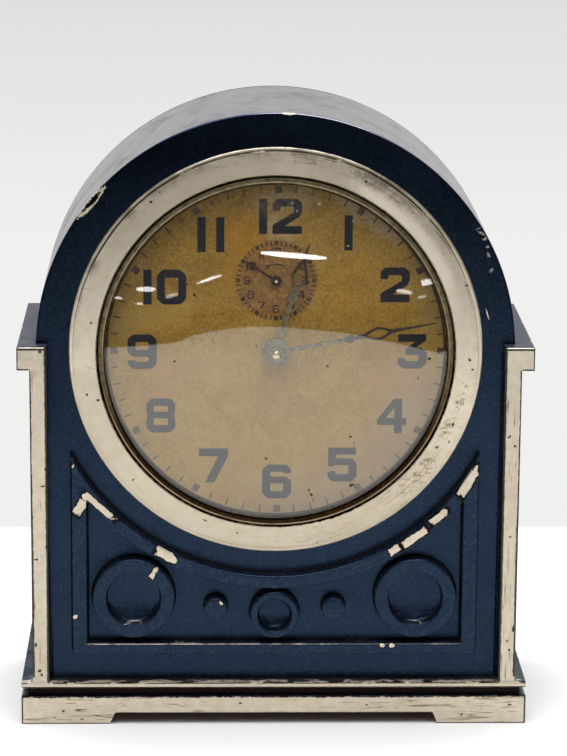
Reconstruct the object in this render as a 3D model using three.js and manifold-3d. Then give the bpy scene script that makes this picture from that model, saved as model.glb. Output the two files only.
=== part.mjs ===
// Wind-up alarm clock with an arched cast case, modelled in millimetres, +Z up, front towards -Y.
// The pieces are laid out in a working frame with Y = 0 at the front plane of the pilasters and Z = 0 at the feet;
// the whole group is then moved along Y so that the origin is below the middle of the clock's box.
import * as THREE from "three";
import { mergeVertices } from "three/addons/utils/BufferGeometryUtils.js";
import Module from "manifold-3d";

const wasm = await Module();
wasm.setup();

// ---------------------------------------------------------------- driving dimensions
const DEPTH = 51.0; // case, front of the pilasters to the rear rim
const FRONT_Y = -3.55; // apex of the glass
const REAR_Y = 54.4; // ends of the winding keys
const MID_Y = (FRONT_Y + REAR_Y) / 2;

const ZC = 89.6; // height of the dial centre, also the centre of the arch
const ARCH_R = 55.8; // outside radius of the arch
const WALL = 2.2; // wall of the arch
const CAV_HW = 53.4; // half-width of the case cavity below the arch
const PANEL_Y = 4.1; // face of the blue panel, behind the pilaster fronts
const PANEL_BACK = 5.7; // inner face of the panel
const RELIEF_Y = 0.4; // face of the raised frame and of the round bosses

const PIL_IN = 53.06; // pilaster, inner and outer half-widths
const PIL_OUT = 57.08;
const CAP_HW = 60.0; // capital half-width
const CAP_Z0 = 85.9;
const CAP_Z1 = 91.4;
const BASE_HW = 59.8;
const BASE_H = 6.9; // plinth block
const NECK_H = 8.55; // recessed neck on top of the plinth
const NECK_IN = 1.4; // how far the neck stands back
const LEDGE_Z0 = 8.85;
const LEDGE_Z1 = 10.2;
const FLOOR_TOP = 11.4;
const FOOT_CUT_H = 2.6; // opening between the feet
const FOOT_CUT_TOP = 37.4;
const FOOT_CUT_BOT = 38.7;

const RING_IN = 41.45; // bare ring around the dial
const RING_OUT = 48.15;
const RING_FRONT_Y = 2.1;

const FRAME_HW = 47.6; // raised frame below the dial
const FRAME_Z0 = 17.05;
const FRAME_ARC = 53.3;
const FIELD_HW = 44.1;
const FIELD_Z0 = 19.7;
const FIELD_ARC = 56.4;
const BOSS_X = 33.2; // large round bosses
const BOSS_Z = 30.8;
const BOSS_R = 9.64;
const BOSS_R_IN = 6.37;
const STUD_X = 13.9; // small round studs
const STUD_Z = 28.2;
const STUD_R = 2.75;
const EYE_Z = 26.7; // middle ring
const EYE_R = 5.7;
const EYE_R_IN = 3.95;

const DIAL_Y = 6.0; // front of the dial sheet
const DIAL_R = 42.6;
const ALARM_DZ = 16.5; // alarm pivot above the dial centre

const FP0 = 11.9; // front plate of the movement
const FP1 = 12.9;
const BP0 = 30.0; // back plate of the movement
const BP1 = 31.2;
const COVER0 = 41.0; // back cover
const COVER1 = 41.8;

const MINUTE_ANGLE = 79.2; // resting directions of the hands, degrees clockwise from 12
const HOUR_ANGLE = 16.5;
const ALARM_ANGLE = -57.5;

// arbor centres seen from the front, relative to the dial centre
const C = [0, 0];
const A = [0, ALARM_DZ];
const T = [-18, -14];
const M = [18, -14];
const polar = (p, r, deg) => [
  p[0] + r * Math.cos((deg * Math.PI) / 180),
  p[1] + r * Math.sin((deg * Math.PI) / 180),
];
const dist = (p, q) => Math.hypot(p[0] - q[0], p[1] - q[1]);
const heading = (p, q) => Math.atan2(q[1] - p[1], q[0] - p[0]);

// wheel work: tooth counts and modules
const GREAT_T = 36;
const CENTRE_LEAVES = 6;
const GREAT_M = (2 * dist(T, C)) / (GREAT_T + CENTRE_LEAVES);
const CENTRE_T = 45;
const THIRD_LEAVES = 6;
const CENTRE_M = 0.64;
const THIRD_T = 48;
const FOURTH_LEAVES = 6;
const THIRD_M = 0.49;
const FOURTH_T = 48;
const ESCAPE_LEAVES = 6;
const FOURTH_M = 0.42;
const ESCAPE_T = 15;
const HOUR_T = 32;
const HOUR_M = (2 * ALARM_DZ) / (2 * HOUR_T);
const MINUTE_LEAVES = 8;
const CANNON_LEAVES = 10;
const MINUTE_T = 30;
const MINUTE_DIST = ((HOUR_T + MINUTE_LEAVES) * HOUR_M) / 2;
const CANNON_M = (2 * MINUTE_DIST) / (CANNON_LEAVES + MINUTE_T);
const ALARM_GREAT_T = 36;
const STRIKE_LEAVES = 6;
const ALARM_GREAT_M = 0.8;
const STRIKE_T = 12;

const THIRD = polar(C, ((CENTRE_T + THIRD_LEAVES) * CENTRE_M) / 2, 145);
const FOURTH = polar(THIRD, ((THIRD_T + FOURTH_LEAVES) * THIRD_M) / 2, 110);
const ESCAPE = polar(FOURTH, ((FOURTH_T + ESCAPE_LEAVES) * FOURTH_M) / 2, 20);
const PALLET = polar(ESCAPE, 7.6, 10);
const BALANCE = polar(PALLET, 9.5, 3);
const MINUTE = polar(C, MINUTE_DIST, -150);
const STRIKE = polar(M, ((ALARM_GREAT_T + STRIKE_LEAVES) * ALARM_GREAT_M) / 2, 35);
const HAMMER = polar(STRIKE, 8.4, -65);
const BELL = [16, -35];
const BELL_R = 14.5;
const STOP = [-27, -25]; // pivot of the alarm stop lever

// ---------------------------------------------------------------- geometry helpers
function solid(geometry) {
  const g = geometry.clone();
  g.deleteAttribute("normal");
  g.deleteAttribute("uv");
  const merged = mergeVertices(g, 1e-4);
  const kept = [];
  const idx = merged.index.array;
  for (let i = 0; i < idx.length; i += 3) {
    const [a, b, c] = [idx[i], idx[i + 1], idx[i + 2]];
    if (a !== b && b !== c && a !== c) kept.push(a, b, c);
  }
  const build = (tris) =>
    new wasm.Manifold(
      new wasm.Mesh({
        numProp: 3,
        vertProperties: new Float32Array(merged.attributes.position.array),
        triVerts: new Uint32Array(tris),
      }),
    );
  const made = build(kept);
  if (made.volume() > 0) return made;
  for (let i = 0; i < kept.length; i += 3) [kept[i + 1], kept[i + 2]] = [kept[i + 2], kept[i + 1]];
  return build(kept);
}

// A front-view outline [x, z] extruded from y0 back to y1.
function prism(points, y0, y1, holes = []) {
  const shape = new THREE.Shape(points.map(([x, z]) => new THREE.Vector2(x, z)));
  for (const h of holes) shape.holes.push(new THREE.Path(h.map(([x, z]) => new THREE.Vector2(x, z))));
  const g = new THREE.ExtrudeGeometry(shape, { depth: y1 - y0, bevelEnabled: false, curveSegments: 1 });
  g.rotateX(Math.PI / 2);
  g.translate(0, y1, 0);
  return solid(g);
}

function circle(cx, cz, r, n, phase = 0) {
  return Array.from({ length: n }, (_, i) => {
    const a = phase + (2 * Math.PI * i) / n;
    return [cx + r * Math.cos(a), cz + r * Math.sin(a)];
  });
}

const disc = (p, r, y0, y1, n = 12) => prism(circle(p[0], p[1], r, n), y0, y1);
const rect = (x0, x1, z0, z1, y0, y1) => prism([[x0, z0], [x1, z0], [x1, z1], [x0, z1]], y0, y1);

// A straight bar of width w between two points of the front view.
function bar(p, q, w, y0, y1, w2 = w) {
  const a = heading(p, q);
  const [nx, nz] = [-Math.sin(a), Math.cos(a)];
  return prism(
    [
      [p[0] + (nx * w) / 2, p[1] + (nz * w) / 2],
      [p[0] - (nx * w) / 2, p[1] - (nz * w) / 2],
      [q[0] - (nx * w2) / 2, q[1] - (nz * w2) / 2],
      [q[0] + (nx * w2) / 2, q[1] + (nz * w2) / 2],
    ],
    y0,
    y1,
  );
}

// A profile of [radius, y] turned about the Y axis through p. A profile off the axis closes on itself.
function turned(profile, p, n = 12) {
  const pts = profile.map(([r, y]) => new THREE.Vector2(r, y));
  if (profile[0][0] > 0) pts.push(pts[0].clone());
  const g = new THREE.LatheGeometry(pts, n);
  g.translate(p[0], 0, p[1]);
  return solid(g);
}

// A stepped shaft along Y: [[y, radius], ...] gives the radius from each y up to the next.
function shaft(steps, p, n = 12) {
  const profile = [[0, steps[0][0]]];
  for (let i = 0; i < steps.length - 1; i++) {
    profile.push([steps[i][1], steps[i][0]], [steps[i][1], steps[i + 1][0]]);
  }
  profile.push([0, steps.at(-1)[0]]);
  return turned(profile, p, n);
}

const join = (...parts) => parts.reduce((a, b) => a.add(b));
const cut = (a, ...tools) => tools.reduce((x, t) => x.subtract(t), a);

// Wheel with pointed teeth; phase is the direction of one tooth.
function wheel(p, teeth, m, y0, y1, phase, hole = 0) {
  const rp = (m * teeth) / 2;
  const [tip, root] = [rp + 0.95 * m, rp - 1.1 * m];
  const pitch = (2 * Math.PI) / teeth;
  const pts = [];
  for (let i = 0; i < teeth; i++) {
    const a = phase + i * pitch;
    for (const [r, f] of [[root, -0.31], [tip, 0], [root, 0.31]])
      pts.push([p[0] + r * Math.cos(a + f * pitch), p[1] + r * Math.sin(a + f * pitch)]);
  }
  return prism(pts, y0, y1, hole ? [circle(p[0], p[1], hole, 12).reverse()] : []);
}

// Pinion with narrow flat-topped leaves.
function pinion(p, leaves, m, y0, y1, phase) {
  const rp = (m * leaves) / 2;
  const [tip, root] = [rp + 0.7 * m, rp - 1.35 * m];
  const pitch = (2 * Math.PI) / leaves;
  const pts = [];
  for (let i = 0; i < leaves; i++) {
    const a = phase + i * pitch;
    for (const [r, f] of [[root, -0.21], [tip, -0.1], [tip, 0.1], [root, 0.21]])
      pts.push([p[0] + r * Math.cos(a + f * pitch), p[1] + r * Math.sin(a + f * pitch)]);
  }
  return prism(pts, y0, y1);
}

// Direction of a tooth of the second gear that puts it in mesh with the first.
function meshPhase(p1, n1, phase1, p2, n2) {
  const line = heading(p1, p2);
  const turns = ((line - phase1) * n1) / (2 * Math.PI);
  const past = turns - Math.floor(turns);
  return line + Math.PI + ((past + 0.5) * 2 * Math.PI) / n2;
}

// Four openings between the spokes of a wheel.
function windows(p, r0, r1, y0, y1, spoke, start = 0) {
  return [0, 1, 2, 3].map((k) => {
    const a0 = start + (k * Math.PI) / 2;
    const pts = [];
    for (let i = 0; i <= 4; i++) {
      const a = a0 + Math.asin(spoke / r1) + ((Math.PI / 2 - 2 * Math.asin(spoke / r1)) * i) / 4;
      pts.push([p[0] + r1 * Math.cos(a), p[1] + r1 * Math.sin(a)]);
    }
    for (let i = 1; i >= 0; i--) {
      const a = a0 + Math.asin(spoke / r0) + ((Math.PI / 2 - 2 * Math.asin(spoke / r0)) * i) / 1;
      pts.push([p[0] + r0 * Math.cos(a), p[1] + r0 * Math.sin(a)]);
    }
    return prism(pts, y0 - 1, y1 + 1);
  });
}

// Flat spiral spring.
function spiral(p, r0, r1, turns, thick, y0, y1, seg, start = 0) {
  const steps = Math.round(turns * seg);
  const [outer, inner] = [[], []];
  for (let i = 0; i <= steps; i++) {
    const a = start + (2 * Math.PI * i) / seg;
    const r = r0 + ((r1 - r0) * i) / steps;
    outer.push([p[0] + (r + thick / 2) * Math.cos(a), p[1] + (r + thick / 2) * Math.sin(a)]);
    inner.push([p[0] + (r - thick / 2) * Math.cos(a), p[1] + (r - thick / 2) * Math.sin(a)]);
  }
  return prism([...outer, ...inner.reverse()], y0, y1);
}

// Cheese-head screw along Y with its slotted head towards the back.
function screw(p, yHead, headR, headH, shankR, length, slotAngle = 0.4) {
  const body = turned(
    [[0, yHead - length], [shankR, yHead - length], [shankR, yHead], [headR, yHead], [headR, yHead + headH], [0, yHead + headH]],
    p,
    10,
  );
  const d = [Math.cos(slotAngle) * headR * 1.2, Math.sin(slotAngle) * headR * 1.2];
  return cut(body, bar([p[0] - d[0], p[1] - d[1]], [p[0] + d[0], p[1] + d[1]], 0.55, yHead + headH * 0.5, yHead + headH + 1));
}

// ---------------------------------------------------------------- materials
const mat = (color, roughness, metalness) => new THREE.MeshStandardMaterial({ color, roughness, metalness });
const ENAMEL = mat(0x1c263c, 0.35, 0.1);
const BARE = mat(0xcdc3af, 0.4, 0.85);
const BRASS = mat(0xb08d4a, 0.35, 0.9);
const DARK_BRASS = mat(0x5a4522, 0.5, 0.8);
const STEEL = mat(0x9a9c9e, 0.35, 0.9);
const BLUED = mat(0x2a2a33, 0.4, 0.8);
const PAPER = mat(0xb98d4e, 0.8, 0);
const GLASS = new THREE.MeshStandardMaterial({ color: 0xdfe6e6, roughness: 0.05, metalness: 0, transparent: true, opacity: 0.3 });
const COVER = mat(0x2b2b2c, 0.45, 0.5);

const clock = new THREE.Group();
const inside = new THREE.Group(); // everything placed about the dial centre
inside.position.set(0, -MID_Y, ZC);
const about = new THREE.Group(); // everything placed from the feet
about.position.set(0, -MID_Y, 0);
clock.add(inside, about);

function piece(group, name, made, material) {
  const m = made.getMesh();
  const v = new Float32Array(m.numVert * 3);
  for (let i = 0; i < m.numVert; i++) v.set(m.vertProperties.subarray(i * m.numProp, i * m.numProp + 3), i * 3);
  const g = new THREE.BufferGeometry();
  g.setAttribute("position", new THREE.BufferAttribute(v, 3));
  g.setIndex(new THREE.BufferAttribute(new Uint32Array(m.triVerts), 1));
  g.computeVertexNormals();
  const mesh = new THREE.Mesh(g, material);
  mesh.name = name;
  group.add(mesh);
  return mesh;
}

// ---------------------------------------------------------------- case casting
function arcPoints(cx, cz, r, a0, a1, n) {
  return Array.from({ length: n + 1 }, (_, i) => {
    const a = a0 + ((a1 - a0) * i) / n;
    return [cx + r * Math.cos(a), cz + r * Math.sin(a)];
  });
}

// Outline of a panel with upright sides, a level foot and a hollow top struck from the dial centre.
function hollowTop(hw, z0, r, n) {
  const half = Math.asin(hw / r);
  return [
    [-hw, z0],
    [hw, z0],
    ...arcPoints(0, ZC, r, -Math.PI / 2 + half, -Math.PI / 2 - half, n),
  ];
}

const vault = prism([...arcPoints(0, ZC, ARCH_R, 0, Math.PI, 40), [-ARCH_R + 2, 80], [ARCH_R - 2, 80]], PANEL_Y, DEPTH);
const body = rect(-CAV_HW - 1, CAV_HW + 1, LEDGE_Z0, 84, PANEL_Y, DEPTH);
const sides = [-1, 1].flatMap((s) => {
  const x = (a, b) => (s < 0 ? [-b, -a] : [a, b]);
  return [
    rect(...x(PIL_IN, PIL_OUT), LEDGE_Z0 + 0.5, CAP_Z0 + 1, 0, DEPTH),
    rect(...x(PIL_IN, CAP_HW), CAP_Z0, CAP_Z1, 0, DEPTH),
  ];
});
const ledge = rect(-BASE_HW, BASE_HW, LEDGE_Z0, LEDGE_Z1, 0, DEPTH);
const cavity = join(
  prism([...arcPoints(0, ZC, ARCH_R - WALL, 0, Math.PI, 28), [-CAV_HW, FLOOR_TOP], [CAV_HW, FLOOR_TOP]], PANEL_BACK, DEPTH + 5),
);
const frame = prism(hollowTop(FRAME_HW, FRAME_Z0, FRAME_ARC, 16), RELIEF_Y, PANEL_Y + 0.5, [
  hollowTop(FIELD_HW, FIELD_Z0, FIELD_ARC, 14).reverse(),
]);
const bosses = [-1, 1].flatMap((s) => [
  prism(circle(s * BOSS_X, BOSS_Z, BOSS_R, 24), RELIEF_Y, PANEL_Y + 0.5, [circle(s * BOSS_X, BOSS_Z, BOSS_R_IN, 20).reverse()]),
  disc([s * STUD_X, STUD_Z], STUD_R, RELIEF_Y, PANEL_Y + 0.5, 12),
]);
const eye = prism(circle(0, EYE_Z, EYE_R, 20), RELIEF_Y, PANEL_Y + 0.5, [circle(0, EYE_Z, EYE_R_IN, 16).reverse()]);
const ring = turned(
  [
    [RING_IN - 1, PANEL_BACK - 0.4],
    [RING_IN - 1, RING_FRONT_Y + 0.3],
    [RING_IN + 0.35, RING_FRONT_Y],
    [RING_OUT - 0.2, RING_FRONT_Y + 1.2],
    [RING_OUT, PANEL_BACK - 0.4],
  ],
  [0, ZC],
  48,
);
const MOVE_SCREWS = [[-37.5, 30.5], [37.5, 30.5], [-37.5, -30.5], [37.5, -30.5]];
const moveBosses = MOVE_SCREWS.map(([x, z]) => disc([x, ZC + z], 2.8, PANEL_BACK - 0.6, FP0 - 0.3, 8));
const moveHoles = MOVE_SCREWS.map(([x, z]) => disc([x, ZC + z], 1.15, PANEL_BACK + 1, FP0 + 1, 8));
const COVER_SCREWS = [[-35.9, 35.9], [35.9, 35.9], [-50.6, 14.2 - ZC], [50.6, 14.2 - ZC]];
const coverLugs = COVER_SCREWS.map(([x, z]) => disc([x, ZC + z], 3.4, 34, COVER0 - 0.3, 10));
const coverHoles = COVER_SCREWS.map(([x, z]) => disc([x, ZC + z], 1.15, 35.5, COVER0 + 1, 8));
const BASE_SCREWS = [[-20, 25], [20, 25]];
const upright = (x, y, r, z0, z1, n = 12) => {
  const g = new THREE.CylinderGeometry(r, r, z1 - z0, n);
  g.rotateX(Math.PI / 2);
  g.translate(x, y, (z0 + z1) / 2);
  return solid(g);
};
const casting = cut(
  join(cut(join(vault, body, ...sides, ledge), cavity), frame, ...bosses, eye, ring, ...moveBosses, ...coverLugs),
  disc([0, ZC], RING_IN, -10, 20, 48),
  ...moveHoles,
  ...coverHoles,
  ...BASE_SCREWS.map(([x, y]) => upright(x, y, 1.6, LEDGE_Z0 - 1, FLOOR_TOP + 1)),
);
piece(about, "case_casting", casting, ENAMEL);

// ---------------------------------------------------------------- plinth
const plinth = cut(
  join(
    rect(-BASE_HW, BASE_HW, 0, BASE_H, 0, DEPTH),
    rect(-BASE_HW + NECK_IN, BASE_HW - NECK_IN, BASE_H - 0.5, NECK_H, NECK_IN, DEPTH - NECK_IN),
  ),
  prism([[-FOOT_CUT_BOT, -1], [FOOT_CUT_BOT, -1], [FOOT_CUT_BOT, 0.6], [FOOT_CUT_TOP, FOOT_CUT_H], [-FOOT_CUT_TOP, FOOT_CUT_H], [-FOOT_CUT_BOT, 0.6]], -1, DEPTH + 1),
  rect(-34, 34, 1, 5.4, 4, DEPTH - 4),
  ...BASE_SCREWS.map(([x, y]) => upright(x, y, 1.6, 1, NECK_H + 1)),
);
piece(about, "base_plinth", plinth, BARE);
BASE_SCREWS.forEach(([x, y], i) => {
  const g = new THREE.LatheGeometry(
    [[0, 3.6], [3.0, 3.6], [3.2, 3.9], [3.2, 5.1], [1.4, 5.1], [1.4, 11.0], [0, 11.0]].map(([r, h]) => new THREE.Vector2(r, h)),
    12,
  );
  g.rotateX(Math.PI / 2);
  g.translate(x, y, 0);
  const slot = rect(x - 4, x + 4, 3, 4.2, y - 0.4, y + 0.4);
  piece(about, "base_screw_" + (i ? "right" : "left"), cut(solid(g), slot), STEEL);
});

// ---------------------------------------------------------------- dial opening
const GLASS_EDGE = 40.3;
const GLASS_SAG = 6.0;
const GLASS_Y = 2.45; // front of the glass at its edge
const GLASS_T = 1.1;
const domeR = (GLASS_EDGE ** 2 + GLASS_SAG ** 2) / (2 * GLASS_SAG);
const domeY = (r) => GLASS_Y - GLASS_SAG + domeR - Math.sqrt(domeR ** 2 - r ** 2);
const domeSteps = [0, 11, 21, 31, GLASS_EDGE];
piece(
  inside,
  "crystal",
  turned([...domeSteps.map((r) => [r, domeY(r)]), ...domeSteps.reverse().map((r) => [r, domeY(r) + GLASS_T])], [0, 0], 36),
  GLASS,
);
piece(
  inside,
  "sight_ring",
  turned(
    [
      [41.15, 1.75],
      [41.15, 5.55],
      [39.0, 5.55],
      [39.8, 3.95],
      [40.7, 3.95],
      [40.7, 2.2],
      [40.05, 2.0],
      [40.05, 1.75],
    ],
    [0, 0],
    48,
  ),
  DARK_BRASS,
);
piece(
  inside,
  "dial",
  prism(circle(0, 0, DIAL_R, 48), DIAL_Y, DIAL_Y + 0.4, [circle(0, 0, 2.3, 16).reverse(), circle(0, ALARM_DZ, 1.15, 12).reverse()]),
  PAPER,
);

// ---------------------------------------------------------------- hands, drawn pointing at 12 and turned to where they rest
function aim(points, deg, p = [0, 0]) {
  const a = (deg * Math.PI) / 180;
  return points.map(([u, v]) => [p[0] + u * Math.cos(a) + v * Math.sin(a), p[1] - u * Math.sin(a) + v * Math.cos(a)]);
}

// A hand with a hub, a thin stem, a small bulge, an open diamond and a fine point.
function hand(deg, hubR, bore, bulge, loop0, loopW, loopMid, loop1, tip, w, y0, y1) {
  const outline = [
    [-w, 0],
    [w, 0],
    [w * 0.8, bulge - 1.6],
    [w * 1.9, bulge],
    [w * 0.8, bulge + 1.2],
    [w * 0.9, loop0],
    [loopW, loopMid],
    [w * 0.9, loop1],
    [0.16, tip],
    [-0.16, tip],
    [-w * 0.9, loop1],
    [-loopW, loopMid],
    [-w * 0.9, loop0],
    [-w * 0.8, bulge + 1.2],
    [-w * 1.9, bulge],
    [-w * 0.8, bulge - 1.6],
  ];
  const eyeHole = [[0, loop0 + 0.9], [loopW - 0.62, loopMid], [0, loop1 - 0.9], [-(loopW - 0.62), loopMid]];
  return cut(
    join(prism(aim(outline, deg), y0, y1, [aim(eyeHole, deg).reverse()]), disc(C, hubR, y0, y1, 20)),
    disc(C, bore, y0 - 1, y1 + 1, 16),
  );
}
piece(inside, "hour_hand", hand(HOUR_ANGLE, 3.0, 2.0, 13.4, 15.2, 1.95, 18.3, 22.4, 26.5, 0.62, 4.2, 4.55), STEEL);
piece(inside, "minute_hand", hand(MINUTE_ANGLE, 3.4, 1.32, 17.5, 19.6, 1.8, 23.4, 27.0, 37.7, 0.55, 3.2, 3.55), STEEL);
piece(
  inside,
  "alarm_hand",
  cut(
    join(
      prism(
        aim([[-0.42, 0], [0.42, 0], [0.38, 5.2], [0.95, 6.6], [0.3, 7.9], [0.12, 9.4], [-0.12, 9.4], [-0.3, 7.9], [-0.95, 6.6], [-0.38, 5.2]], ALARM_ANGLE, A),
        5.05,
        5.35,
      ),
      disc(A, 1.5, 5.05, 5.35, 14),
    ),
    disc(A, 0.92, 4, 6, 12),
  ),
  BLUED,
);

// ---------------------------------------------------------------- motion work under the dial
const hourPhase = heading(C, A);
const alarmWheelPhase = meshPhase(C, HOUR_T, hourPhase, A, HOUR_T);
const minutePinionPhase = meshPhase(C, HOUR_T, hourPhase, MINUTE, MINUTE_LEAVES);
const cannonPhase = heading(C, MINUTE);
const minuteWheelPhase = meshPhase(C, CANNON_LEAVES, cannonPhase, MINUTE, MINUTE_T);
piece(
  inside,
  "hour_wheel",
  cut(join(wheel(C, HOUR_T, HOUR_M, 7.0, 7.9, hourPhase), disc(C, 1.88, 4.0, 7.4, 16)), disc(C, 1.36, 0, 20, 16)),
  BRASS,
);
piece(
  inside,
  "cannon_pinion",
  cut(join(pinion(C, CANNON_LEAVES, CANNON_M, 8.3, 10.6, cannonPhase), disc(C, 1.2, 2.9, 10.6, 16)), disc(C, 0.88, 0, 20, 12)),
  BRASS,
);
piece(
  inside,
  "minute_wheel",
  cut(
    join(wheel(MINUTE, MINUTE_T, CANNON_M, 9.2, 10.0, minuteWheelPhase), pinion(MINUTE, MINUTE_LEAVES, HOUR_M, 6.9, 9.4, minutePinionPhase)),
    disc(MINUTE, 0.75, 0, 20, 10),
  ),
  BRASS,
);
piece(
  inside,
  "alarm_wheel",
  cut(join(wheel(A, HOUR_T, HOUR_M, 7.0, 7.9, alarmWheelPhase), disc(A, 2.4, 7.4, 9.4, 14)), disc(A, 0.98, 0, 20, 12)),
  BRASS,
);

// ---------------------------------------------------------------- movement plates
const PILLARS = [[-32, 27], [32, 27], [-31, -33.5], [31, -33.5]];
const chamfered = (hw, hh, c) => [
  [-hw + c, -hh],
  [hw - c, -hh],
  [hw, -hh + c],
  [hw, hh - c],
  [hw - c, hh],
  [-hw + c, hh],
  [-hw, hh - c],
  [-hw, -hh + c],
];
const pivots = [THIRD, FOURTH, ESCAPE, PALLET, BALANCE, STRIKE];
const frontPlate = cut(
  join(prism(chamfered(41.5, 36.5, 6), FP0, FP1), disc(MINUTE, 0.6, 6.8, FP0 + 0.5, 10)),
  disc(C, 1.1, 0, 40, 12),
  disc(A, 1.0, 0, 40, 12),
  disc(T, 1.0, 0, 40, 12),
  disc(M, 1.0, 0, 40, 12),
  disc(HAMMER, 0.66, 0, 40, 10),
  ...pivots.map((p) => disc(p, 0.68, 0, 40, 8)),
  ...MOVE_SCREWS.map((p) => disc(p, 1.15, 0, 40, 8)),
  ...PILLARS.map((p) => disc(p, 1.22, 0, 40, 8)),
);
piece(inside, "front_plate", frontPlate, BRASS);
const backPlate = cut(
  prism(chamfered(38.5, 37, 5), BP0, BP1),
  disc(C, 1.45, 0, 40, 12),
  disc(A, 1.25, 0, 40, 12),
  disc(T, 1.95, 0, 40, 14),
  disc(M, 1.95, 0, 40, 14),
  disc(HAMMER, 0.96, 0, 40, 10),
  disc(STOP, 1.0, 0, 40, 10),
  ...pivots.map((p) => disc(p, 0.68, 0, 40, 8)),
  ...PILLARS.map((p) => disc(p, 1.22, 0, 40, 8)),
  disc(BELL, 1.15, 0, 40, 10),
);
piece(inside, "back_plate", backPlate, BRASS);
PILLARS.forEach((p, i) =>
  piece(
    inside,
    "pillar_" + (i + 1),
    shaft([[FP0 - 0.2, 1.05], [FP1 + 0.1, 1.9], [BP0 - 0.1, 1.05], [BP1 + 0.3, 0]], p, 8),
    BRASS,
  ),
);
MOVE_SCREWS.forEach((p, i) => piece(inside, "movement_screw_" + (i + 1), screw(p, FP1 + 0.1, 2.1, 1.3, 0.95, 5.4, 0.3 + i), STEEL));

// ---------------------------------------------------------------- time side
const RATCHET_T = 16;
// Ratchet teeth lean one way; the click lies just off their tips.
function ratchet(p, r, teeth, y0, y1, dir) {
  const pts = [];
  for (let i = 0; i < teeth; i++) {
    const a = (2 * Math.PI * i) / teeth;
    pts.push([p[0] + r * Math.cos(a), p[1] + r * Math.sin(a)]);
    pts.push([p[0] + (r - 1.1) * Math.cos(a + dir * 0.06), p[1] + (r - 1.1) * Math.sin(a + dir * 0.06)]);
  }
  const area = pts.reduce((s, [x, z], i) => s + x * pts[(i + 1) % pts.length][1] - pts[(i + 1) % pts.length][0] * z, 0);
  return prism(area < 0 ? pts.reverse() : pts, y0, y1);
}
const greatPhase = heading(T, C);
const centrePinionPhase = meshPhase(T, GREAT_T, greatPhase, C, CENTRE_LEAVES);
const centrePhase = heading(C, THIRD);
const thirdPinionPhase = meshPhase(C, CENTRE_T, centrePhase, THIRD, THIRD_LEAVES);
const thirdPhase = heading(THIRD, FOURTH);
const fourthPinionPhase = meshPhase(THIRD, THIRD_T, thirdPhase, FOURTH, FOURTH_LEAVES);
const fourthPhase = heading(FOURTH, ESCAPE);
const escapePinionPhase = meshPhase(FOURTH, FOURTH_T, fourthPhase, ESCAPE, ESCAPE_LEAVES);

piece(
  inside,
  "time_winding_arbor",
  join(
    shaft([[FP0 + 0.1, 0.85], [FP1 + 0.2, 1.6], [BP1 + 1, 1.6], [COVER1 + 1, 1.4], [46.2, 0]], T, 12),
    ratchet(T, 6, RATCHET_T, 15.4, 16.1, 1),
  ),
  STEEL,
);
piece(
  inside,
  "time_great_wheel",
  wheel(T, GREAT_T, GREAT_M, 14.0, 15.0, greatPhase, 1.78),
  BRASS,
);
function click(p, side, y0, y1) {
  const q = polar(p, 7.9, 60);
  const tip = polar(p, 6.35, 60 + side * 32);
  return join(disc(q, 1.1, y0, y1, 10), bar(q, tip, 1.3, y0, y1, 0.35));
}
piece(inside, "time_click", click(T, 1, 15.3, 16.1), STEEL);
piece(inside, "time_mainspring", spiral(T, 2.7, 10.6, 5, 0.4, 16.6, 24.2, 10), BLUED);
piece(
  inside,
  "centre_wheel",
  join(
    cut(wheel(C, CENTRE_T, CENTRE_M, 25.2, 26.0, centrePhase), ...windows(C, 3.4, 12.2, 25.2, 26.0, 0.9)),
    pinion(C, CENTRE_LEAVES, GREAT_M, 13.4, 15.7, centrePinionPhase),
    shaft([[1.4, 0.75], [FP1 - 1.5, 0.75], [FP1 + 0.3, 1.3], [BP0 - 0.4, 1.2], [COVER1 + 1, 1.1], [46.0, 0]], C, 12),
  ),
  BRASS,
);
piece(
  inside,
  "third_wheel",
  join(
    wheel(THIRD, THIRD_T, THIRD_M, 28.2, 29.0, thirdPhase),
    pinion(THIRD, THIRD_LEAVES, CENTRE_M, 24.5, 26.7, thirdPinionPhase),
    shaft([[FP0 + 0.1, 0.52], [FP1 + 0.3, 0.9], [BP0 - 0.3, 0.52], [BP1 - 0.1, 0]], THIRD, 10),
  ),
  BRASS,
);
piece(
  inside,
  "fourth_wheel",
  join(
    wheel(FOURTH, FOURTH_T, FOURTH_M, 20.0, 20.8, fourthPhase),
    pinion(FOURTH, FOURTH_LEAVES, THIRD_M, 27.4, 29.5, fourthPinionPhase),
    shaft([[FP0 + 0.1, 0.52], [FP1 + 0.3, 0.8], [BP0 - 0.3, 0.52], [BP1 - 0.1, 0]], FOURTH, 10),
  ),
  BRASS,
);
function sawWheel(p, teeth, tip, root, y0, y1, lean) {
  const pts = [];
  for (let i = 0; i < teeth; i++) {
    const a = (2 * Math.PI * i) / teeth;
    const w = (2 * Math.PI) / teeth;
    for (const [r, f] of [[root, -0.3], [tip, lean], [root, 0.22]])
      pts.push([p[0] + r * Math.cos(a + f * w), p[1] + r * Math.sin(a + f * w)]);
  }
  return prism(pts, y0, y1);
}
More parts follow.
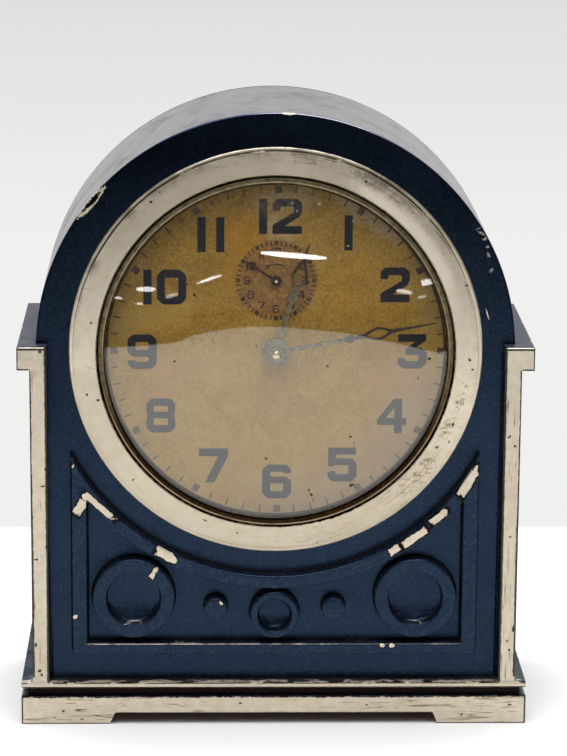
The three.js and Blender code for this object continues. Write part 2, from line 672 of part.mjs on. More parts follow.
piece(
  inside,
  "escape_wheel",
  join(
    sawWheel(ESCAPE, ESCAPE_T, 5.5, 4.1, 15.5, 16.2, 0.25),
    pinion(ESCAPE, ESCAPE_LEAVES, FOURTH_M, 19.4, 21.4, escapePinionPhase),
    shaft([[FP0 + 0.1, 0.52], [FP1 + 0.3, 0.7], [BP0 - 0.3, 0.52], [BP1 - 0.1, 0]], ESCAPE, 10),
  ),
  BRASS,
);
{
  const back = (heading(PALLET, ESCAPE) * 180) / Math.PI;
  const fore = (heading(PALLET, BALANCE) * 180) / Math.PI;
  const up = polar(PALLET, 4.2, back + 57);
  const down = polar(PALLET, 4.2, back - 57);
  piece(
    inside,
    "pallet_lever",
    join(
      shaft([[FP0 + 0.1, 0.52], [FP1 + 0.3, 0.75], [BP0 - 0.3, 0.52], [BP1 - 0.1, 0]], PALLET, 10),
      disc(PALLET, 1.3, 16.6, 17.3, 12),
      bar(PALLET, up, 0.9, 16.6, 17.3),
      bar(PALLET, down, 0.9, 16.6, 17.3),
      disc(up, 0.32, 15.2, 17.3, 8),
      disc(down, 0.32, 15.2, 17.3, 8),
      bar(PALLET, polar(PALLET, 6.4, fore), 0.9, 16.6, 17.3, 0.7),
      bar(polar(PALLET, 6.2, fore), polar(PALLET, 7.2, fore + 7), 0.5, 16.6, 17.3),
      bar(polar(PALLET, 6.2, fore), polar(PALLET, 7.2, fore - 7), 0.5, 16.6, 17.3),
    ),
    STEEL,
  );
}
piece(
  inside,
  "balance_wheel",
  join(
    turned([[7.0, 22.0], [7.8, 22.0], [7.8, 23.6], [7.0, 23.6]], BALANCE, 24),
    bar(polar(BALANCE, 7.3, 40), polar(BALANCE, 7.3, 220), 1.0, 22.4, 23.2),
    shaft([[FP0 + 0.1, 0.45], [FP1 + 0.4, 0.6], [16.5, 1.5], [17.4, 0.6], [BP0 - 0.4, 0.45], [BP1 - 0.1, 0]], BALANCE, 10),
  ),
  BRASS,
);
piece(inside, "hairspring", spiral(BALANCE, 1.3, 5.4, 4, 0.24, 25.2, 26.0, 10), BLUED);

// ---------------------------------------------------------------- alarm side
const alarmGreatPhase = heading(M, STRIKE);
const strikePinionPhase = meshPhase(M, ALARM_GREAT_T, alarmGreatPhase, STRIKE, STRIKE_LEAVES);
piece(
  inside,
  "alarm_winding_arbor",
  join(
    shaft([[FP0 + 0.1, 0.85], [FP1 + 0.2, 1.6], [BP1 + 1, 1.6], [COVER1 + 1, 1.4], [46.2, 0]], M, 12),
    ratchet(M, 6, RATCHET_T, 26.5, 27.2, -1),
  ),
  STEEL,
);
piece(
  inside,
  "alarm_great_wheel",
  wheel(M, ALARM_GREAT_T, ALARM_GREAT_M, 27.6, 28.6, alarmGreatPhase, 1.78),
  BRASS,
);
piece(inside, "alarm_click", click(M, -1, 26.5, 27.3), STEEL);
piece(inside, "alarm_mainspring", spiral(M, 2.7, 10.6, 5, 0.4, 16.6, 24.2, 10, 1), BLUED);
piece(
  inside,
  "alarm_escape_wheel",
  join(
    sawWheel(STRIKE, STRIKE_T, 5.2, 3.7, 19.2, 20.0, 0.05),
    pinion(STRIKE, STRIKE_LEAVES, ALARM_GREAT_M, 26.9, 29.2, strikePinionPhase),
    shaft([[FP0 + 0.1, 0.52], [FP1 + 0.3, 0.8], [BP0 - 0.3, 0.52], [BP1 - 0.1, 0]], STRIKE, 10),
  ),
  BRASS,
);
const HEAD = [BELL[0] + BELL_R + 2.6, BELL[1]];
{
  const back = (heading(HAMMER, STRIKE) * 180) / Math.PI;
  const up = polar(HAMMER, 4.8, back + 60);
  const down = polar(HAMMER, 4.8, back - 60);
  piece(
    inside,
    "alarm_hammer",
    join(
      shaft([[FP0 + 0.1, 0.52], [FP1 + 0.3, 0.8], [36.4, 0]], HAMMER, 10),
      disc(HAMMER, 1.4, 20.5, 21.2, 12),
      bar(HAMMER, up, 1.0, 20.5, 21.2),
      bar(HAMMER, down, 1.0, 20.5, 21.2),
      disc(up, 0.35, 18.9, 21.2, 8),
      disc(down, 0.35, 18.9, 21.2, 8),
      disc(HAMMER, 1.5, 35.0, 36.3, 12),
      bar(HAMMER, HEAD, 1.2, 35.2, 36.2),
      disc(HEAD, 2.0, 34.0, 38.0, 12),
    ),
    STEEL,
  );
}
piece(
  inside,
  "bell",
  turned(
    [
      [1.3, 33.2],
      [5.0, 33.2],
      [10.5, 33.9],
      [13.6, 35.6],
      [BELL_R, 39.6],
      [BELL_R - 0.8, 39.6],
      [12.9, 36.1],
      [10.2, 34.7],
      [5.0, 34.0],
      [1.3, 34.0],
    ],
    BELL,
    24,
  ),
  STEEL,
);
piece(inside, "bell_screw", screw(BELL, 34.2, 2.4, 1.6, 1.0, 4.2, 0.9), STEEL);
piece(inside, "bell_spacer", turned([[1.25, BP1 + 0.2], [2.6, BP1 + 0.2], [2.6, 33.0], [1.25, 33.0]], BELL, 12), BRASS);
piece(
  inside,
  "alarm_set_arbor",
  shaft([[4.8, 0.8], [FP1 + 0.2, 1.0], [COVER1 + 1, 0.95], [46.0, 0]], A, 12),
  STEEL,
);
piece(inside, "hand_nut", turned([[0, 0.0], [0.8, 0.0], [1.07, 0.35], [1.07, 2.75], [0.86, 2.75], [0.86, 1.1], [0, 1.1]], C, 12), BRASS);

// ---------------------------------------------------------------- back cover, keys, knobs and levers
// Opening that follows an arc about a pivot.
function arcSlot(p, r, half, a0, a1, y0, y1) {
  const [from, to] = [(a0 * Math.PI) / 180, (a1 * Math.PI) / 180];
  return prism(
    [...arcPoints(p[0], p[1], r + half, from, to, 4), ...arcPoints(p[0], p[1], r - half, to, from, 4)],
    y0,
    y1,
  );
}
const REG_R = 12.4; // regulator pointer, from the balance axis
const STOP_R = 12.0; // stop lever finger, from its pivot
const coverOutline = [
  ...arcPoints(0, 0, ARCH_R - WALL - 0.6, 0, Math.PI, 28),
  [-CAV_HW + 0.4, FLOOR_TOP + 0.4 - ZC],
  [CAV_HW - 0.4, FLOOR_TOP + 0.4 - ZC],
];
const soundHoles = [[0, 0], ...circle(0, 0, 6.2, 6)].map(([x, z]) => disc([BELL[0] + x, BELL[1] + z], 1.9, 40, 43, 8));
piece(
  inside,
  "back_cover",
  cut(
    prism(coverOutline, COVER0, COVER1),
    disc(C, 2.2, 40, 43, 14),
    disc(A, 2.0, 40, 43, 14),
    disc(T, 2.6, 40, 43, 16),
    disc(M, 2.6, 40, 43, 16),
    arcSlot(BALANCE, REG_R, 1.3, 55, 125, 40, 43),
    arcSlot(STOP, STOP_R, 1.4, 178, 222, 40, 43),
    ...soundHoles,
    ...COVER_SCREWS.map((p) => disc(p, 1.25, 40, 43, 8)),
  ),
  COVER,
);
COVER_SCREWS.forEach((p, i) => piece(inside, "cover_screw_" + (i + 1), screw(p, COVER1 + 0.1, 2.3, 1.5, 0.95, 5.5, 0.7 * i), STEEL));

// Wing key: a collar with two flat ears.
function wingKey(p, deg) {
  const ears = [0, 180].map((k) => {
    const along = (u, y) => [u, y];
    const g = new THREE.ExtrudeGeometry(
      new THREE.Shape(
        [along(1.2, 46.6), along(3.2, 45.8), along(6.4, 46.6), along(8.8, 48.6), along(9.4, 51.0), along(8.4, 53.4), along(6.2, REAR_Y), along(4.0, 53.6), along(2.2, 51.6), along(1.2, 50.2)].map(
          ([u, y]) => new THREE.Vector2(u, y),
        ),
      ),
      { depth: 1.8, bevelEnabled: false, curveSegments: 1 },
    );
    g.translate(0, 0, -0.9);
    g.rotateY(((k + deg) * Math.PI) / 180);
    g.translate(p[0], 0, p[1]);
    return solid(g);
  });
  return cut(
    join(turned([[0, 43.4], [3.4, 43.4], [3.4, 47.4], [2.6, 48.6], [1.6, 50.6], [0, 50.6]], p, 16), ...ears),
    disc(p, 1.55, 43, 46.6, 12),
  );
}
piece(inside, "time_winding_key", wingKey(T, 25), BRASS);
piece(inside, "alarm_winding_key", wingKey(M, -25), BRASS);
function knob(p, r, bore, y0, y1) {
  const rim = [];
  const n = 20;
  for (let i = 0; i < n; i++) {
    const a = (2 * Math.PI * i) / n;
    rim.push([p[0] + (i % 2 ? r : r - 0.45) * Math.cos(a), p[1] + (i % 2 ? r : r - 0.45) * Math.sin(a)]);
  }
  return cut(join(prism(rim, y0 + 1.6, y1 - 0.6), disc(p, r * 0.62, y0, y0 + 2, 16), disc(p, r * 0.8, y1 - 1, y1, 16)), disc(p, bore, y0 - 1, 46.4, 12));
}
piece(inside, "time_set_knob", knob(C, 5.0, 1.22, 43.2, 49.6), BRASS);
piece(inside, "alarm_set_knob", knob(A, 4.2, 1.06, 43.2, 49.0), BRASS);
piece(
  inside,
  "regulator_lever",
  cut(
    join(
      disc(BALANCE, 2.6, BP1 + 0.5, BP1 + 1.2, 14),
      bar(BALANCE, polar(BALANCE, REG_R + 0.8, 90), 1.8, BP1 + 0.5, BP1 + 1.2, 1.5),
      rect(BALANCE[0] - 0.7, BALANCE[0] + 0.7, BALANCE[1] + REG_R - 0.7, BALANCE[1] + REG_R + 0.7, BP1 + 0.5, 43.8),
    ),
    disc(BALANCE, 0.9, 30, 40, 10),
  ),
  STEEL,
);
{
  const finger = polar(STOP, STOP_R, 190);
  piece(
    inside,
    "alarm_stop_lever",
    join(
      shaft([[BP0 + 0.2, 0.8], [BP1 + 0.3, 1.7], [BP1 + 1.4, 0]], STOP, 10),
      bar(STOP, polar(STOP, STOP_R + 0.9, 190), 2.0, BP1 + 0.5, BP1 + 1.3, 1.8),
      disc(finger, 0.85, BP1 + 0.5, 44.6, 10),
      disc(finger, 1.9, 44.2, 46.0, 12),
    ),
    STEEL,
  );
}

export default clock;
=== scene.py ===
import math

import bmesh
import bpy
from mathutils import Matrix, Vector
from mathutils.geometry import tessellate_polygon


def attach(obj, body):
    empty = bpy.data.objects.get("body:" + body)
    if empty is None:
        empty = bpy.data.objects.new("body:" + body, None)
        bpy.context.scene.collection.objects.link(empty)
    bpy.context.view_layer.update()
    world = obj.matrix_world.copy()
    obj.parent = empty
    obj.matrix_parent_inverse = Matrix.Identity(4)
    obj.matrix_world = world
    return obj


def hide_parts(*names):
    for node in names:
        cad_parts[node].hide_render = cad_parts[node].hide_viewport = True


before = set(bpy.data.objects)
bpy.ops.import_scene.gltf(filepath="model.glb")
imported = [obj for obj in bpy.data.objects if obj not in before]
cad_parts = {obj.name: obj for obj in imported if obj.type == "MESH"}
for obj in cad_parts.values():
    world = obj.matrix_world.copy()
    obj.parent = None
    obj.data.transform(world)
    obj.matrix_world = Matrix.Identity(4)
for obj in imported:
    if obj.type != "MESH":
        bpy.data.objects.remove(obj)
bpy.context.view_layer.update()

SCENE = bpy.context.scene

# ------------------------------------------------------------------ dimensions, in millimetres
# Working frame: Y = 0 at the fronts of the pilasters, Z = 0 at the feet.
MID_Y = 25.425
ZC = 89.6
ARCH_R = 55.8
DEPTH = 51.0
PANEL_Y = 4.1
PANEL_BACK = 5.7
RELIEF_Y = 0.4
PIL_IN, PIL_OUT = 53.06, 57.08
CAP_HW, CAP_Z0, CAP_Z1 = 60.0, 85.9, 91.4
BASE_HW, BASE_H, NECK_H, NECK_IN = 59.8, 6.9, 8.55, 1.4
LEDGE_Z0, LEDGE_Z1 = 8.85, 10.2
FLOOR_TOP = 11.4
CAV_HW, CAV_R = 53.4, 53.6
RING_IN, RING_OUT = 41.45, 48.15
DIAL_Y = 6.0
ALARM_DZ = 16.5
C = (0.0, 0.0)
A = (0.0, ALARM_DZ)
T = (-18.0, -14.0)
M = (18.0, -14.0)
BALANCE = (9.735, 27.488)
BELL = (16.0, -35.0)
STOP = (-27.0, -25.0)
COVER0, COVER1 = 41.0, 41.8
REAR_Y = 54.4
HOUR_ANGLE, MINUTE_ANGLE, ALARM_ANGLE = 16.5, 79.2, -57.5


def metres(p):
    return (p[0] * 0.001, (p[1] - MID_Y) * 0.001, p[2] * 0.001)


# ------------------------------------------------------------------ flat outlines
def area(pts):
    return 0.5 * sum(a[0] * b[1] - b[0] * a[1] for a, b in zip(pts, pts[1:] + pts[:1]))


def ccw(pts):
    pts = [tuple(p) for p in pts]
    return pts if area(pts) > 0 else pts[::-1]


def arc(cx, cz, r, a0, a1, n):
    out = []
    for i in range(n + 1):
        a = math.radians(a0 + (a1 - a0) * i / n)
        out.append((cx + r * math.cos(a), cz + r * math.sin(a)))
    return out


def circle(cx, cz, r, n=48):
    return arc(cx, cz, r, 0, 360, n)[:-1]


def rect(x0, x1, z0, z1):
    return [(x0, z0), (x1, z0), (x1, z1), (x0, z1)]


def offset(pts, d):
    """Moves each side of a counter-clockwise outline outwards by d."""
    out = []
    n = len(pts)
    for i in range(n):
        p, q, s = pts[i - 1], pts[i], pts[(i + 1) % n]
        e1 = Vector((q[0] - p[0], q[1] - p[1])).normalized()
        e2 = Vector((s[0] - q[0], s[1] - q[1])).normalized()
        n1, n2 = Vector((e1.y, -e1.x)), Vector((e2.y, -e2.x))
        m = (n1 + n2) / max(0.2, 1 + n1.dot(n2))
        if m.length > 2.2:
            m *= 2.2 / m.length
        out.append((q[0] + m.x * d, q[1] + m.y * d))
    return out


def eased(pts, r, n=3):
    """Rounds the corners of an outline; r is one size or one for each corner."""
    out = []
    k = len(pts)
    for i in range(k):
        rr = r[i] if isinstance(r, (list, tuple)) else r
        p, q, s = Vector(pts[i - 1]), Vector(pts[i]), Vector(pts[(i + 1) % k])
        e1, e2 = (p - q), (s - q)
        if rr <= 0 or abs(e1.normalized().cross(e2.normalized())) < 0.12:
            out.append(tuple(q))
            continue
        d1, d2 = min(rr, e1.length * 0.45), min(rr, e2.length * 0.45)
        a, b = q + e1.normalized() * d1, q + e2.normalized() * d2
        for j in range(n + 1):
            t = j / n
            out.append(tuple(a * (1 - t) ** 2 + q * 2 * t * (1 - t) + b * t * t))
    return out


def turned_outline(pts, deg, p=(0, 0)):
    """An outline drawn pointing up, turned clockwise by deg about its own origin and moved to p."""
    a = math.radians(deg)
    return [
        (p[0] + u * math.cos(a) + v * math.sin(a), p[1] - u * math.sin(a) + v * math.cos(a))
        for u, v in pts
    ]


def polar(p, r, deg):
    return (p[0] + r * math.cos(math.radians(deg)), p[1] + r * math.sin(math.radians(deg)))


# ------------------------------------------------------------------ meshes
def from_feet(a, b, h):
    return (a, h, b)


def from_dial(a, b, h):
    return (a, h, b + ZC)


def upright(a, b, h):
    return (a, b, h)


def quarter(r, steps):
    """Inset and rise along a quarter round, from the side to the face."""
    if r <= 0:
        return [(0.0, 0.0)]
    return [
        (r * (1 - math.cos(math.pi / 2 * k / steps)), r * (1 - math.sin(math.pi / 2 * k / steps)))
        for k in range(steps + 1)
    ]


class Shape:
    """Closed surfaces in working millimetres that make up one piece."""

    def __init__(self):
        self.v, self.f, self.m, self.flat = [], [], [], []

    def add(self, pts):
        i = len(self.v)
        self.v.extend(pts)
        return list(range(i, i + len(pts)))

    def face(self, idx, mat=0, flat=False):
        self.f.append(tuple(idx))
        self.m.append(mat)
        self.flat.append(flat)

    def loft(self, loops, mat=0):
        """Joins loops of equal length; mat is one number or one for each step."""
        n = len(loops[0])
        for k, (a, b) in enumerate(zip(loops, loops[1:])):
            m = mat[k] if isinstance(mat, list) else mat
            for i in range(n):
                j = (i + 1) % n
                self.face((a[i], a[j], b[j], b[i]), m)

    def cap(self, outlines, loops, mat=0):
        """Fills an outline with holes, given flat points and their vertex numbers."""
        every = [i for loop in loops for i in loop]
        polys = [[Vector((p[0], p[1], 0.0)) for p in o] for o in outlines]
        for t in tessellate_polygon(polys):
            self.face([every[k] for k in t], mat, True)

    def solid(self, outer, profile, holes=(), mat=0, place=from_feet):
        """An outline carried along a profile of (outward offset, height), closed at both ends."""
        outer, holes = ccw(outer), [ccw(h) for h in holes]
        oo = [offset(outer, d) if d else list(outer) for d, _ in profile]
        ho = [[offset(h, -d) if d else list(h) for d, _ in profile] for h in holes]
        lo = [self.add([place(x, z, h) for x, z in o]) for o, (_, h) in zip(oo, profile)]
        lh = [[self.add([place(x, z, h) for x, z in o]) for o, (_, h) in zip(hs, profile)] for hs in ho]
        self.loft(lo, mat)
        for loops in lh:
            self.loft(loops, mat)
        for k in (0, -1):
            m = mat[k] if isinstance(mat, list) else mat
            self.cap([oo[k], *[h[k] for h in ho]], [lo[k], *[h[k] for h in lh]], m)

    def prism(self, outer, y0, y1, r0=0.0, r1=0.0, holes=(), mat=0, place=from_feet, steps=3):
        """An outline from y1 forward to y0, its edges rounded by r1 and r0."""
        back = [(-i, y1 - h) for i, h in reversed(quarter(r1, steps))]
        front = [(-i, y0 + h) for i, h in quarter(r0, steps)]
        self.solid(outer, back + front, holes, mat, place)

    def lathe(self, profile, p=(0.0, 0.0), n=48, mat=0, place=from_dial, phase=0.0):
        """A profile of (radius, y) turned about a line along Y. It starts and ends on the line, or closes on itself.
        A radius may be a function of the angle."""
        rows = []
        for r, y in profile:
            if not callable(r) and r <= 1e-6:
                rows.append(self.add([place(p[0], p[1], y)]))
                continue
            pts = []
            for i in range(n):
                a = phase + 2 * math.pi * i / n
                rr = r(a) if callable(r) else r
                yy = y(a) if callable(y) else y
                pts.append(place(p[0] + rr * math.cos(a), p[1] + rr * math.sin(a), yy))
            rows.append(self.add(pts))
        closed = len(rows[0]) > 1
        steps = mat
        for k, (a, b) in enumerate(zip(rows, rows[1:] + ([rows[0]] if closed else []))):
            mat = steps[min(k, len(steps) - 1)] if isinstance(steps, list) else steps
            for i in range(n):
                j = (i + 1) % n
                if len(a) == 1 and len(b) == 1:
                    continue
                if len(a) == 1:
                    self.face((a[0], b[j], b[i]), mat)
                elif len(b) == 1:
                    self.face((a[i], a[j], b[0]), mat)
                else:
                    self.face((a[i], a[j], b[j], b[i]), mat)

    def build(self, name, looks, body, nodes=(), angle=34.0):
        me = bpy.data.meshes.new(name)
        me.from_pydata([metres(p) for p in self.v], [], self.f)
        for look in looks:
            me.materials.append(look)
        me.polygons.foreach_set("material_index", self.m)
        me.polygons.foreach_set("use_smooth", [True] * len(self.f))
        bm = bmesh.new()
        bm.from_mesh(me)
        bmesh.ops.recalc_face_normals(bm, faces=bm.faces)
        bm.to_mesh(me)
        bm.free()
        me.set_sharp_from_angle(angle=math.radians(angle))
        me.update()
        ob = bpy.data.objects.new(name, me)
        SCENE.collection.objects.link(ob)
        w = ob.modifiers.new("even_normals", "WEIGHTED_NORMAL")
        w.keep_sharp = True
        w.weight = 60
        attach(ob, body)
        if nodes:
            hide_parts(*nodes)
        return ob


# ------------------------------------------------------------------ materials
class Look:
    """A node material. Lengths in it are millimetres of the piece itself."""

    def __init__(self, name):
        self.mat = bpy.data.materials.new(name)
        self.mat.use_nodes = True
        self.nt = self.mat.node_tree
        self.nt.nodes.clear()
        self.out = self.node("ShaderNodeOutputMaterial")
        self.bsdf = self.node("ShaderNodeBsdfPrincipled")
        self.nt.links.new(self.bsdf.outputs[0], self.out.inputs[0])
        tc = self.node("ShaderNodeTexCoord")
        shift = self.node("ShaderNodeVectorMath", operation="MULTIPLY_ADD")
        self.nt.links.new(tc.outputs["Object"], shift.inputs[0])
        shift.inputs[1].default_value = (1000, 1000, 1000)
        shift.inputs[2].default_value = (0, MID_Y, 0)
        self.co = shift.outputs[0]
        sep = self.node("ShaderNodeSeparateXYZ")
        self.nt.links.new(self.co, sep.inputs[0])
        self.x, self.y, self.z = sep.outputs

    def node(self, kind, **props):
        n = self.nt.nodes.new(kind)
        for k, v in props.items():
            setattr(n, k, v)
        return n

    def put(self, socket, value):
        if isinstance(value, bpy.types.NodeSocket):
            self.nt.links.new(value, socket)
        elif isinstance(value, (tuple, list)):
            socket.default_value = tuple(value) + ((1.0,) if len(value) == 3 and socket.type == "RGBA" else ())
        else:
            socket.default_value = value

    def math(self, op, a, b=0.0, c=0.0, clamp=False):
        n = self.node("ShaderNodeMath", operation=op, use_clamp=clamp)
        self.put(n.inputs[0], a)
        self.put(n.inputs[1], b)
        self.put(n.inputs[2], c)
        return n.outputs[0]

    def add(self, a, b):
        return self.math("ADD", a, b)

    def sub(self, a, b):
        return self.math("SUBTRACT", a, b)

    def mul(self, a, b):
        return self.math("MULTIPLY", a, b)

    def most(self, a, b):
        return self.math("MAXIMUM", a, b)

    def least(self, a, b):
        return self.math("MINIMUM", a, b)

    def vec(self, op, a, b=(0, 0, 0), scale=1.0):
        n = self.node("ShaderNodeVectorMath", operation=op)
        self.put(n.inputs[0], a)
        if op == "SCALE":
            self.put(n.inputs["Scale"], scale)
        else:
            self.put(n.inputs[1], b)
        return n.outputs["Value"] if op in ("LENGTH", "DOT_PRODUCT", "DISTANCE") else n.outputs[0]

    def noise(self, scale, detail=3.0, rough=0.55, distort=0.0, at=None):
        n = self.node("ShaderNodeTexNoise")
        self.put(n.inputs["Vector"], at if at is not None else self.co)
        n.inputs["Scale"].default_value = scale
        n.inputs["Detail"].default_value = detail
        n.inputs["Roughness"].default_value = rough
        n.inputs["Distortion"].default_value = distort
        return n.outputs[0]

    def cells(self, scale, at=None):
        n = self.node("ShaderNodeTexVoronoi")
        self.put(n.inputs["Vector"], at if at is not None else self.co)
        n.inputs["Scale"].default_value = scale
        return n.outputs["Distance"], n.outputs["Color"]

    def stretched(self, sx, sy, sz, ang=0.0):
        n = self.node("ShaderNodeMapping")
        self.put(n.inputs["Vector"], self.co)
        n.inputs["Rotation"].default_value = (0, math.radians(ang), 0)
        n.inputs["Scale"].default_value = (sx, sy, sz)
        return n.outputs[0]

    def ramp(self, v, lo, hi, a=0.0, b=1.0):
        n = self.node("ShaderNodeMapRange", interpolation_type="SMOOTHSTEP", clamp=True)
        self.put(n.inputs[0], v)
        if lo > hi:
            lo, hi, a, b = hi, lo, b, a
        for i, x in enumerate((lo, hi, a, b)):
            n.inputs[i + 1].default_value = x
        return n.outputs[0]

    def mix(self, fac, a, b):
        n = self.node("ShaderNodeMix", data_type="RGBA")
        self.put(n.inputs[0], fac)
        self.put(n.inputs[6], a)
        self.put(n.inputs[7], b)
        return n.outputs[2]

    def lerp(self, fac, a, b):
        n = self.node("ShaderNodeMix", data_type="FLOAT")
        self.put(n.inputs[0], fac)
        self.put(n.inputs[2], a)
        self.put(n.inputs[3], b)
        return n.outputs[0]

    def bump(self, height, depth_mm, strength=1.0):
        n = self.node("ShaderNodeBump")
        n.inputs["Strength"].default_value = strength
        n.inputs["Distance"].default_value = depth_mm * 0.001
        self.put(n.inputs["Height"], height)
        return n.outputs[0]

    def spots(self, wobble, places):
        """Least scaled distance to a list of patches: (x, z, half length, half width, angle, square?)."""
        best = None
        for x, z, hl, hw, ang, square in places:
            n = self.node("ShaderNodeMapping", vector_type="TEXTURE")
            self.put(n.inputs["Vector"], self.co)
            n.inputs["Location"].default_value = (x, 0, z)
            n.inputs["Rotation"].default_value = (0, -math.radians(ang), 0)
            n.inputs["Scale"].default_value = (hl, 1.0e6, hw)
            if square:
                ab = self.vec("ABSOLUTE", n.outputs[0])
                s = self.node("ShaderNodeSeparateXYZ")
                self.put(s.inputs[0], ab)
                d = self.most(s.outputs[0], s.outputs[2])
            else:
                d = self.vec("LENGTH", n.outputs[0])
            best = d if best is None else self.least(best, d)
        return self.add(best, wobble)

    def set(self, **values):
        names = {
            "color": "Base Color", "rough": "Roughness", "metal": "Metallic", "normal": "Normal",
            "spec": "Specular IOR Level", "ior": "IOR", "coat": "Coat Weight", "coat_rough": "Coat Roughness",
            "trans": "Transmission Weight", "alpha": "Alpha",
        }
        for k, v in values.items():
            self.put(self.bsdf.inputs[names[k]], v)
        return self.mat


def enamel_parts(L):
    """Colour, roughness and relief of the old dark blue enamel."""
    big = L.noise(0.035, 3, 0.6)
    mid = L.noise(0.32, 4, 0.6)
    fine = L.noise(2.6, 3, 0.55)
    c = L.mix(L.ramp(big, 0.35, 0.65), (0.0011, 0.0026, 0.0060), (0.0013, 0.0040, 0.0058))
    c = L.mix(L.ramp(mid, 0.45, 0.8, 0.0, 0.5), c, (0.0034, 0.0060, 0.0115))
    grain = L.noise(1.5, 5, 0.85)
    c = L.mix(L.ramp(grain, 0.47, 0.62, 0.0, 0.90), c, (0.0205, 0.0255, 0.0500))
    d, cell = L.cells(0.9)
    dust = L.mul(L.ramp(d, 0.10, 0.05), L.ramp(cell, 0.80, 0.86))
    c = L.mix(L.mul(dust, 0.20), c, (0.08, 0.10, 0.13))
    smear = L.ramp(L.noise(0.09, 5, 0.65, 0.6), 0.48, 0.72)
    rough = L.add(L.lerp(smear, 0.27, 0.37), L.mul(L.sub(mid, 0.5), 0.16))
    height = L.add(L.mul(L.noise(0.55, 2, 0.5), 1.0), L.mul(fine, 0.30))
    return c, rough, height


def bare_parts(L, tone=0.0):
    """Colour, roughness and relief of the worn white metal where the enamel is gone."""
    big = L.noise(0.05, 3, 0.6)
    mid = L.noise(0.42, 5, 0.62)
    fine = L.noise(3.1, 3, 0.6)
    k = 1.0 - tone
    c = L.mix(L.ramp(mid, 0.36, 0.66), (0.700 * k, 0.625 * k, 0.500 * k), (0.635 * k, 0.555 * k, 0.425 * k))
    c = L.mix(L.ramp(big, 0.45, 0.75, 0.0, 0.4), c, (0.525 * k, 0.450 * k, 0.335 * k))
    lines = L.noise(1.0, 4, 0.6, 0.8, L.stretched(0.16, 0.5, 1.9, 12))
    c = L.mix(L.ramp(lines, 0.64, 0.74, 0.0, 0.45), c, (0.30, 0.235, 0.155))
    d, cell = L.cells(0.30)
    s = L.node("ShaderNodeSeparateColor")
    L.put(s.inputs[0], cell)
    size = L.ramp(s.outputs[0], 0.76, 1.0, 0.0, 0.11)
    pit = L.ramp(L.sub(d, size), 0.02, -0.02)
    pit = L.mul(pit, L.ramp(s.outputs[1], 0.5, 0.6))
    c = L.mix(L.mul(pit, 0.8), c, (0.045, 0.032, 0.020))
    rough = L.add(L.lerp(mid, 0.36, 0.50), L.mul(pit, 0.25))
    height = L.sub(L.add(L.mul(mid, 0.5), L.mul(fine, 0.20)), L.add(L.mul(pit, 0.8), L.mul(L.ramp(lines, 0.60, 0.72), 0.35)))
    return c, rough, height


def facing(L):
    """World normal of the surface, as three numbers."""
    geo = L.node("ShaderNodeNewGeometry")
    s = L.node("ShaderNodeSeparateXYZ")
    L.put(s.inputs[0], geo.outputs["Normal"])
    return s.outputs


def finish_worn(L, c, rough, metal, height):
    L.set(color=c, rough=rough, metal=metal, normal=L.bump(height, 0.035, 0.75))
    L.bsdf.inputs["Specular IOR Level"].default_value = 0.5
    L.bsdf.inputs["Specular Tint"].default_value = (0.31, 0.56, 1.0, 1.0)
    return L.mat


def worn(L, bare, edge, tone=0.0, dusty=1.0, rust=0.0, dull=0.0, painted_shade=None, painted_highlight=None, scuff=None, matte=None, shade=None):
    """Enamel with bare metal where bare is 1 and a dark line where edge is 1; optional masks paint shade and a
    highlight into the enamel.
    """
    ec, er, eh = enamel_parts(L)
    bc, br, bh = bare_parts(L, tone)
    # dust that has settled on what faces up
    nx, ny, nz = facing(L)
    up = L.mul(L.ramp(nz, 0.35, 0.9), L.ramp(L.noise(0.16, 5, 0.7, 0.4), 0.30, 0.70, 0.62, 1.0))
    ec = L.mix(L.mul(L.mul(up, 0.42), dusty), ec, (0.105, 0.105, 0.102))
    if rust:
        ec = L.mix(L.mul(L.ramp(nz, -0.3, -0.8), rust), ec, (0.21, 0.088, 0.050))
    # painted shade darkens the enamel and makes it more metallic; painted highlight lightens it and makes it glossier
    if painted_shade is not None:
        ec = L.mix(painted_shade, ec, (0.0010, 0.0024, 0.0032))
    if painted_highlight is not None:
        ec = L.mix(painted_highlight[0], ec, painted_highlight[1])
        er = L.lerp(painted_highlight[0], er, 0.16)
        painted_shade = L.most(painted_shade, L.mul(painted_highlight[0], 0.7))
    if scuff is not None:
        bc = L.mix(scuff, bc, (0.155, 0.098, 0.046))
    c = L.mix(bare, ec, bc)
    c = L.mix(L.mul(edge, 0.9), c, (0.0085, 0.0052, 0.0036))
    if dull:
        er = L.lerp(L.mul(up, dull), er, 0.72)
    rough = L.lerp(bare, er, br)
    metal = L.most(L.mul(bare, 0.92), edge)
    if painted_shade is not None:
        metal = L.most(metal, L.mul(painted_shade, L.sub(1.0, bare)))
    if matte is not None:
        metal = L.mul(metal, L.sub(1.0, matte))
    # painted shade: a near-black, dull line
    if shade is not None:
        c = L.mix(L.mul(shade, 0.95), c, (0.0040, 0.0042, 0.0046))
        rough = L.lerp(shade, rough, 0.92)
        metal = L.most(metal, shade)
    height = L.lerp(bare, L.mul(eh, 0.5), L.sub(L.mul(bh, 0.6), 1.6))
    return finish_worn(L, c, rough, metal, height)


